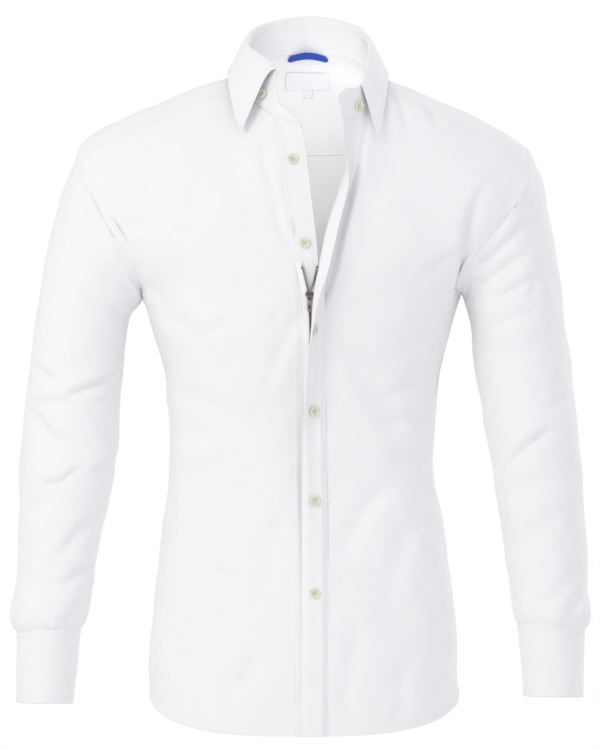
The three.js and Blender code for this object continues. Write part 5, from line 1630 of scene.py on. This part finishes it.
class ShirtStudioSettings(bpy.types.PropertyGroup):
    """Floor, lights and camera"""

    floor_drop: length_setting("Floor drop", "From the neck of the shirt down to the floor", 0.8, 1.45)
    camera_distance: length_setting("Camera distance", "From the shirt to the camera", 1, 16)
    view_height: length_setting("View height", "Height of the view at the shirt", 0.1, 0.81)
    key_power: power_setting("Key light", "Power of the key light", 20)
    fill_power: power_setting("Fill light", "Power of the fill light", 3)
    back_power: power_setting("Back light", "Power of the light behind", 14)
    neck_power: power_setting("Neck light", "Power of the light inside the neck", 0.1)
    sky: factor_setting("Sky light", "Strength of the even light", 0.84)


# ------------------------------------------------------------------ stitches
def make_stitching(scene):
    if not stitch_lines:
        raise RuntimeError("the cloth pieces come before their stitching")
    shape = link("stitch", capsule("stitch", 1.9, 0.36, 0.28))
    paths = path_object("stitch_paths", [(shouldered(path), ways) for path, ways in stitch_lines])
    piece = run_tree("stitching", paths, placed_tree("Stitches"), dict(
        Pitch=scene.shirt_trims.stitch_pitch, Unevenness=0.12, Seed=3, Shape=shape,
        Material=finish("white thread")))
    bpy.data.objects.remove(shape)
    declared(piece, "white_cloth")


# ------------------------------------------------------------------ zip
def off_front(x, down, level):
    spots = front_spot(x, -down)
    spots[..., 1] -= level
    return spots


def under_placket(distance, down):
    """A point below the placket, and its outward way there."""
    distance, down = np.broadcast_arrays(np.asarray(distance, float), np.asarray(down, float))
    across = placket_at(distance + 1, down) - placket_at(distance - 1, down)
    length = placket_at(distance, down + 1) - placket_at(distance, down - 1)
    outward = unit(np.cross(across, length))
    return placket_at(distance, down) - outward * UNDER_PLACKET, outward


def tape_right(down):
    inner = zip_run.right(down) - CHAIN_WIDTH / 2
    near = off_front(inner + 1.2, down, CHAIN_LEVEL + TAPE_THICK / 2)
    far = off_front(inner - TAPE_WIDTH, down, TAPE_OUTER_LEVEL + TAPE_THICK / 2)
    return np.stack([mix(near, far, share) for share in np.linspace(0, 1, 9)], axis=1)


def tape_left(down):
    near_x = zip_run.left(down) + CHAIN_WIDTH / 2 - 1.2
    far_x = left_inner.out(down) - TAPE_INSET
    far_level = PLACKET_LIFT * smooth(TAPE_INSET / PLACKET_LIFT_RUN) - UNDER_PLACKET
    parted = zip_run.parted(down)[:, None]
    columns = []
    for share in np.linspace(0, 1, 10):
        level = mix(far_level, CHAIN_LEVEL + TAPE_THICK / 2, share)
        flat = off_front(mix(far_x, near_x, share), down, level)
        rolled, _ = under_placket(mix(TAPE_INSET, TAPE_REACH + 1.2, share), down)
        columns.append(mix(flat, rolled, parted))
    return np.stack(columns, axis=1)


def make_tapes(scene):
    down = mix(*TAPE_SPAN, stations(TAPE_SPAN[1] - TAPE_SPAN[0], TRIM_STEP))
    for word, grid, node in (("right", tape_right(down), "button_band_cloth"),
                             ("left", tape_left(down), "placket_cloth")):
        cloth_piece(f"zip_tape_{word}", grid, grid, TAPE_THICK, "zip tape", "zip_tape")


def rounded_box(name, low, high, bevel, segments):
    """A box between two corners in metres, with rounded edges."""
    build = bmesh.new()
    place = Matrix.Translation((low + high) / 2) @ Matrix.Diagonal((*(high - low), 1))
    bmesh.ops.create_cube(build, size=1, matrix=place)
    bmesh.ops.bevel(build, geom=build.edges[:], offset=bevel * MM, segments=segments, affect="EDGES")
    return smooth_mesh(name, build)


def make_chains(scene):
    pitch = scene.shirt_trims.tooth_pitch
    half = np.array(TOOTH) / 2 * MM
    shape = link("tooth", rounded_box("tooth", -half, half, 0.28, 1))
    tree = placed_tree("Zip Teeth")
    forward = np.array([0.0, -1.0, 0.0])
    for word, start in (("right", 0.0), ("left", pitch / MM / 2)):
        down = np.arange(CHAIN_SPAN[0] + start, CHAIN_SPAN[1], 1.0)
        if word == "right":
            path = off_front(zip_run.right(down) + TOOTH_REACH, down, CHAIN_LEVEL)
            outward = np.tile(forward, (len(down), 1))
        else:
            flat = off_front(zip_run.left(down) - TOOTH_REACH, down, CHAIN_LEVEL)
            rolled, rolled_out = under_placket(mix(*CHAIN_REACH, 0.5), down)
            parted = zip_run.parted(down)[:, None]
            path = mix(flat, rolled - rolled_out * 0.9, parted)
            outward = unit(mix(forward, rolled_out, parted))
        piece = run_tree(f"zip_teeth_{word}", path_object("chain_path", [(path, outward)]), tree, dict(
            Pitch=pitch, Unevenness=0.0, Shape=shape, Material=finish("dark nickel"), Seed=1))
        declared(piece, "dark_metal", f"zip_chain_{word}")
    bpy.data.objects.remove(shape)


def metal_piece(name, meshes, metal, slot, *nodes, body=SHIRT_BODY):
    """One piece of metal from its meshes."""
    for mesh in meshes:
        mesh.materials.clear()
        mesh.materials.append(finish(metal))
    declared(link(name, joined(name, meshes)), slot, *nodes, body=body)


def make_stops(scene):
    """The stops keep the places of their nodes."""
    nodes = ("zip_stop_right", "zip_stop_left", "zip_stop_foot")
    meshes = [rounded_box(node, *np.array(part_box(node)), 0.4, 3) for node in nodes]
    metal_piece("zip_stops", meshes, "dark nickel", "dark_metal", *nodes)


def standing(mesh, x, y, z):
    """Turns a mesh drawn facing +Z to face -Y, and moves it to a place in metres."""
    mesh.transform(Matrix.Translation((x, y, z)) @ Matrix.Rotation(math.pi / 2, 4, "X"))
    return mesh


def make_slider(scene):
    """Two plates, the post between them and the bridge that holds the pull."""
    low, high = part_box("zip_slider")
    x, back, z = (low[0] + high[0]) / 2, high[1], (low[2] + high[2]) / 2
    half, waist, end = SLIDER.width / 2, SLIDER.waist / 2, SLIDER.height / 2
    corner = 1.3
    outline = [
        (-waist + 0.5, -end), (waist - 0.5, -end), (waist, -end + 0.5), (waist + 0.3, -1.6), (half, 0.6),
        *arc((half - corner, end - corner), corner, 0, 90, 5),
        (1.3, end), (0, end - 0.5), (-1.3, end),
        *arc((-half + corner, end - corner), corner, 90, 180, 5),
        (-half, 0.6), (-waist - 0.3, -1.6), (-waist, -end + 0.5),
    ]
    depth = 2 * SLIDER.plate + SLIDER.room
    post = [(-0.3, 1.6), (0.3, 1.6), (0.9, end - 0.4), (-0.9, end - 0.4)]
    meshes = [
        standing(plate(name, [shape], thick, bevel), x, back - level * MM, z)
        for name, shape, thick, bevel, level in (
            ("slider_plate", outline, SLIDER.plate, 0.25, SLIDER.plate / 2),
            ("slider_plate", outline, SLIDER.plate, 0.25, depth - SLIDER.plate / 2),
            ("slider_post", post, depth - 0.2, 0.1, depth / 2),
        )
    ]
    bridge = [(0, -depth + 0.3 - BRIDGE.rise * math.sin(a) ** 0.7, BRIDGE.half * math.cos(a))
              for a in np.linspace(0, math.pi, 15)]
    bridge = [(0, -depth + 0.6, BRIDGE.half), *bridge, (0, -depth + 0.6, -BRIDGE.half)]
    bar = tube("slider_bridge", bridge, BRIDGE.radius, 10)
    bar.transform(Matrix.Translation((x, back, z)) @ Matrix.Diagonal((BRIDGE.flat, 1, 1, 1)))
    metal_piece("zip_slider_body", [*meshes, bar], "dark nickel", "dark_metal", "zip_slider")


def make_pull(scene):
    """The pull tab with its slot round the bridge and its oval eye."""
    anchor = next(joint["pos_m"] for joint in frame["joints"] if joint["name"] == "pull_hinge")
    half, neck, length = PULL.width / 2, PULL.neck / 2, PULL.length
    outline = [
        (-neck, PULL.bar / 2 - 0.3), (-neck + 0.3, PULL.bar / 2), (neck - 0.3, PULL.bar / 2),
        (neck, PULL.bar / 2 - 0.3), (neck, -5.2), (half - 0.1, -7.4), (half, -8.2),
        *arc((0, half - length), half, 0, -180, 18),
        (-half, -8.2), (-half + 0.1, -7.4), (-neck, -5.2),
    ]
    slot = [(-1.3, -PULL.bar / 2), (1.3, -PULL.bar / 2), (1.3, -3.7), *arc((0.8, -3.7), 0.5, 0, -90, 3),
            *arc((-0.8, -3.7), 0.5, -90, -180, 3)]
    eye = arc((0, 5 - length), 1.1, 0, 345, 23, squash=5.1 / 2.2)
    mesh = standing(plate("zip_pull_tab", [outline, slot, eye], PULL.thick, 0.28), *anchor)
    metal_piece("zip_pull_tab", [mesh], "rose metal", "pull_metal", "zip_pull", body=PULL_BODY)


# ------------------------------------------------------------------ buttons
def button_mesh():
    """A four-hole button that stands on its back, about +Z."""
    body = link("button", lathe("button", BUTTON_SECTION, 40))
    drills = []
    section = ((0, -1), (BUTTON_HOLE, -1), (BUTTON_HOLE, 4), (0, 4))
    for x, y in ((1, 1), (1, -1), (-1, -1), (-1, 1)):
        drill = lathe("drill", section, 12)
        drill.transform(Matrix.Translation((x * BUTTON_SPREAD * MM, y * BUTTON_SPREAD * MM, 0)))
        drills.append(drill)
    cutter = link("drills", joined("drills", drills))
    cut = body.modifiers.new("holes", "BOOLEAN")
    cut.operation = "DIFFERENCE"
    cut.solver = "EXACT"
    cut.object = cutter
    made = baked(body, "button")
    bpy.data.objects.remove(cutter)
    made.data.materials.clear()
    return made


def button_thread_mesh():
    """Two bars of thread through the holes and a short shank below the button."""
    bars = []
    for y in (-BUTTON_SPREAD, BUTTON_SPREAD):
        x = np.linspace(-1.5, 1.5, 9)
        height = 1.3 + 0.75 * np.sqrt(np.maximum(1 - (x / 1.5) ** 4, 0))
        for off in (-0.22, 0.22):
            bars.append(tube("bar", spot(x, y + off, height), 0.24, 6))
    bars.append(tube("shank", [(0, 0, -3.0), (0, 0, -1.5), (0, 0, 0.2)], 0.9, 8))
    return joined("button thread", bars)


def outward_of(surface, u, v, du, dv):
    across = surface(u + du, v) - surface(u - du, v)
    length = surface(u, v + dv) - surface(u, v - dv)
    return unit(np.cross(across, length))


def button_places():
    """Where each button stands, and its outward way, in the order of their nodes."""
    places = []

    def note(surface, u, v, du, dv, gap=BUTTON_GAP):
        u, v = np.array(float(u)), np.array(float(v))
        outward = outward_of(surface, u, v, du, dv)
        places.append((surface(u, v) + outward * gap, outward))

    for x, down in BAND_BUTTONS:
        note(front_spot, x, -down, -1, -1)
    for down, shank in PLACKET_BUTTONS:
        note(placket_at, PLACKET_WIDTH / 2, down, 1, 1, shank)
    for share, rise in STAND_BUTTONS:
        note(stand_at, share, rise, 0.01, -0.1, STAND_SHANK)
    for side, word in SIDES:
        low, high = np.array(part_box(f"button_cuff_{word}")) / MM
        middle = (low + high) / 2
        grid = cuff_grid(side)
        off = np.linalg.norm(grid - middle, axis=-1)
        outward = outwards(grid)[np.unravel_index(np.argmin(off), off.shape)]
        places.append((middle + outward * (BUTTON_GAP - CUFF_BUTTON_BACK), outward))
    return places


def make_buttons(scene):
    places = [(here[None, :], outward[None, :]) for here, outward in button_places()]
    tree = scattered_tree("Buttons")
    thread = link("button_thread", button_thread_mesh())
    for name, shape, material_name, slot, nodes in (
        ("buttons", button_mesh(), "pearl shell", "pearl_button", BUTTON_NODES),
        ("button_threads", thread, "white thread", "white_cloth", ()),
    ):
        paths = path_object(name, places, spin=np.radians(BUTTON_TURNS))
        piece = run_tree(name, paths, tree, {"Shape": shape, "Material": finish(material_name)})
        declared(piece, slot, *nodes)
        bpy.data.objects.remove(shape)


# ------------------------------------------------------------------ loop, label and tab
def inside_yoke(half, top, foot, rows):
    """A grid that lies inside the yoke and faces the neck, between two edges' heights."""
    x = np.linspace(-half, half, len(top))[None, :]
    outer = back_spot(x, mix(top, foot, np.linspace(0, 1, rows)[:, None]))
    return (outer - outwards(outer) * TRIM_DEPTH)[:, ::-1]


def loop_edge(columns, way):
    """The height of the loop's upper or lower edge: an arch with rounded ends."""
    x = np.linspace(-LOOP.half, LOOP.half, columns)
    past = np.clip((np.abs(x) - LOOP.half + LOOP.width / 2) / (LOOP.width / 2), 0, 1)
    middle = mix(LOOP.top, LOOP.ends, (x / LOOP.half) ** 2)
    half = LOOP.width / 2 * (1 - 0.22 * (x / LOOP.half) ** 2)
    return middle + way * half * np.sqrt(1 - 0.85 * past**2)


def make_loop(scene):
    columns, rows = 60, 9
    grid = inside_yoke(LOOP.half, loop_edge(columns, 1), loop_edge(columns, -1), rows)
    bulge = LOOP.bulge * (1 - np.linspace(-1, 1, columns)[None, :] ** 4) * np.ones((rows, 1))
    bulge += 0.25 * np.sin(np.linspace(0, math.pi, rows))[:, None]
    loop = grid + outwards(grid) * bulge[..., None]
    cloth_piece("hanger_loop", grid, loop, 1.0, "blue ribbon", "blue_loop")


def make_labels(scene):
    for name, size, columns, rows in (("neck_label", LABEL, 40, 16), ("size_tab", TAB, 12, 9)):
        grid = inside_yoke(size.half, np.full(columns, size.top), np.full(columns, size.foot), rows)
        off = np.min([from_edge(grid, edge) for edge in ("start", "end", "top", "foot")], axis=0)
        fold = LABEL_FOLD * ramp(off, 1.6, 0.8)
        wave = LABEL_WAVE * np.sin(np.linspace(0, 7, columns))[None, :]
        cut = grid + outwards(grid) * (fold + wave)[..., None]
        cloth_piece(name, grid, cut, SINGLE, "label satin", "label_cloth")


# ------------------------------------------------------------------ studio
def soft_light(name, place, target, size, power, colour):
    light = bpy.data.lights.new(name, "AREA")
    light.shape = "DISK"
    light.size = size
    light.energy = power
    light.color = colour
    lamp = link(name, light)
    lamp.visible_camera = False
    lamp.location = place
    lamp.rotation_euler = (Vector(target) - Vector(place)).to_track_quat("-Z", "Y").to_euler()


def make_camera(scene):
    studio = scene.shirt_studio

    camera = bpy.data.cameras.new("camera")
    camera.lens = camera.sensor_width / 2 / (studio.view_height / 2 / studio.camera_distance)
    camera.clip_end = 100
    viewer = link("camera", camera)
    viewer.location = (VIEW_X, -studio.camera_distance, VIEW_Z)
    viewer.rotation_euler = (math.pi / 2, 0, 0)
    scene.camera = viewer
    scene.view_settings.view_transform = "Standard"


def make_floor(scene):
    build = bmesh.new()
    bmesh.ops.create_circle(build, cap_ends=True, radius=FLOOR_RADIUS, segments=96,
                            matrix=Matrix.Translation((0, 0, -scene.shirt_studio.floor_drop)))
    floor = link("floor", smooth_mesh("floor", build))
    made, nodes, shader = material("pale floor", Roughness=0.8)
    place = nodes.place("Object")
    axes = nodes.add("ShaderNodeSeparateXYZ", {0: place}).outputs
    squares = [nodes.maths("POWER", axes[k], 2.0) for k in (0, 1)]
    reach = nodes.maths("SQRT", nodes.maths("ADD", *squares))
    grain = shaded(nodes, (0.9, 0.9, 0.9), nodes.noise(place, 3, 4), 0.02)
    set_sockets(nodes, shader, Base_Color=grain, Alpha=nodes.ramp(reach, *FLOOR_FADE))
    floor.data.materials.append(made)


def make_lights(scene):
    studio = scene.shirt_studio
    world = bpy.data.worlds.new("studio")
    scene.world = world
    world.use_nodes = True
    nodes = Nodes(world.node_tree)
    world.node_tree.nodes.clear()
    seen = nodes.add("ShaderNodeBackground", {"Color": (1, 1, 1, 1), "Strength": 1.0})
    even = nodes.add("ShaderNodeBackground", {"Color": (0.97, 0.975, 1.0, 1), "Strength": studio.sky})
    by_camera = nodes.add("ShaderNodeLightPath").outputs["Is Camera Ray"]
    both = nodes.add("ShaderNodeMixShader", {0: by_camera, 1: even.outputs[0], 2: seen.outputs[0]})
    nodes.add("ShaderNodeOutputWorld", {"Surface": both.outputs[0]})

    chest = (0, (cad_box[0].y + cad_box[1].y) / 2, -0.25)
    warm = (1.0, 0.99, 0.97)
    for name, place, target, size, power, colour in (
        ("key light", (-1.9, -2.3, 0.9), chest, 1.5, studio.key_power, warm),
        ("fill light", (2.2, -2.4, 0.1), chest, 2.0, studio.fill_power, (0.93, 0.94, 1.0)),
        ("back light", (1.9, 2.3, 1.0), chest, 1.5, studio.back_power, warm),
        ("neck light", (0.0, 0.0, -0.08), (0.0, 1.0, -0.1), 0.18, studio.neck_power, (1.0, 1.0, 1.0)),
    ):
        soft_light(name, place, target, size, power, colour)


# ------------------------------------------------------------------ operators
class Step:
    """An operator that makes its pieces from the scene's settings."""

    def execute(self, context):
        for make in self.steps:
            make(context.scene)
        return {"FINISHED"}


class SHIRT_OT_fronts(Step, bpy.types.Operator):
    """Make the right and the left front"""

    bl_idname = "shirt.fronts"
    bl_label = "Fronts"
    steps = (make_fronts,)


class SHIRT_OT_back(Step, bpy.types.Operator):
    """Make the back and the yoke"""

    bl_idname = "shirt.back"
    bl_label = "Back and yoke"
    steps = (make_back, make_yoke)


class SHIRT_OT_front_edges(Step, bpy.types.Operator):
    """Make the button band and the rolled placket"""

    bl_idname = "shirt.front_edges"
    bl_label = "Band and placket"
    steps = (make_band, make_placket)


class SHIRT_OT_sleeves(Step, bpy.types.Operator):
    """Make the sleeves, the strips of their slits and the cuffs"""

    bl_idname = "shirt.sleeves"
    bl_label = "Sleeves and cuffs"
    steps = (make_sleeves,)


class SHIRT_OT_collar(Step, bpy.types.Operator):
    """Make the collar stand and its leaf"""

    bl_idname = "shirt.collar"
    bl_label = "Collar"
    steps = (make_stand, make_leaf)


class SHIRT_OT_zip(Step, bpy.types.Operator):
    """Make the zip: tapes, chains of teeth, stops, slider and pull tab"""

    bl_idname = "shirt.zip"
    bl_label = "Zip"
    steps = (make_tapes, make_chains, make_stops, make_slider, make_pull)


class SHIRT_OT_buttons(Step, bpy.types.Operator):
    """Make the buttons and the threads that hold them"""

    bl_idname = "shirt.buttons"
    bl_label = "Buttons"
    steps = (make_buttons,)


class SHIRT_OT_trims(Step, bpy.types.Operator):
    """Make the hanger loop, the bare label and the size tab inside the neck"""

    bl_idname = "shirt.trims"
    bl_label = "Loop, label and tab"
    steps = (make_loop, make_labels)


class SHIRT_OT_stitching(Step, bpy.types.Operator):
    """Make the stitches along every topstitched edge"""

    bl_idname = "shirt.stitching"
    bl_label = "Stitching"
    steps = (make_stitching,)


class SHIRT_OT_studio(Step, bpy.types.Operator):
    """Make the pale floor, the soft lights and the camera"""

    bl_idname = "shirt.studio"
    bl_label = "Studio"
    steps = (make_camera, make_floor, make_lights)


# ------------------------------------------------------------------ add-on
OPERATORS = (
    SHIRT_OT_studio, SHIRT_OT_fronts, SHIRT_OT_back, SHIRT_OT_front_edges, SHIRT_OT_sleeves,
    SHIRT_OT_collar, SHIRT_OT_zip, SHIRT_OT_buttons, SHIRT_OT_trims, SHIRT_OT_stitching,
)
SETTINGS = (
    ("shirt_cloth", ShirtClothSettings),
    ("shirt_trims", ShirtTrimSettings),
    ("shirt_studio", ShirtStudioSettings),
)


class SHIRT_PT_panel(bpy.types.Panel):
    """Settings and pieces of the shirt"""

    bl_idname = "SHIRT_PT_panel"
    bl_label = "Zip-front shirt"
    bl_space_type = "VIEW_3D"
    bl_region_type = "UI"
    bl_category = "Shirt"

    def draw(self, context):
        for name, settings in SETTINGS:
            box = self.layout.box()
            for prop in settings.__annotations__:
                box.prop(getattr(context.scene, name), prop)
        for operator in OPERATORS:
            self.layout.operator(operator.bl_idname)


def register():
    for name, settings in SETTINGS:
        bpy.utils.register_class(settings)
        setattr(bpy.types.Scene, name, PointerProperty(type=settings))
    for kind in (*OPERATORS, SHIRT_PT_panel):
        bpy.utils.register_class(kind)


def unregister():
    for kind in reversed((*OPERATORS, SHIRT_PT_panel)):
        bpy.utils.unregister_class(kind)
    for name, settings in reversed(SETTINGS):
        delattr(bpy.types.Scene, name)
        bpy.utils.unregister_class(settings)


def main():
    register()
    for operator in OPERATORS:
        area, name = operator.bl_idname.split(".")
        getattr(getattr(bpy.ops, area), name)()


if __name__ == "__main__":
    main()
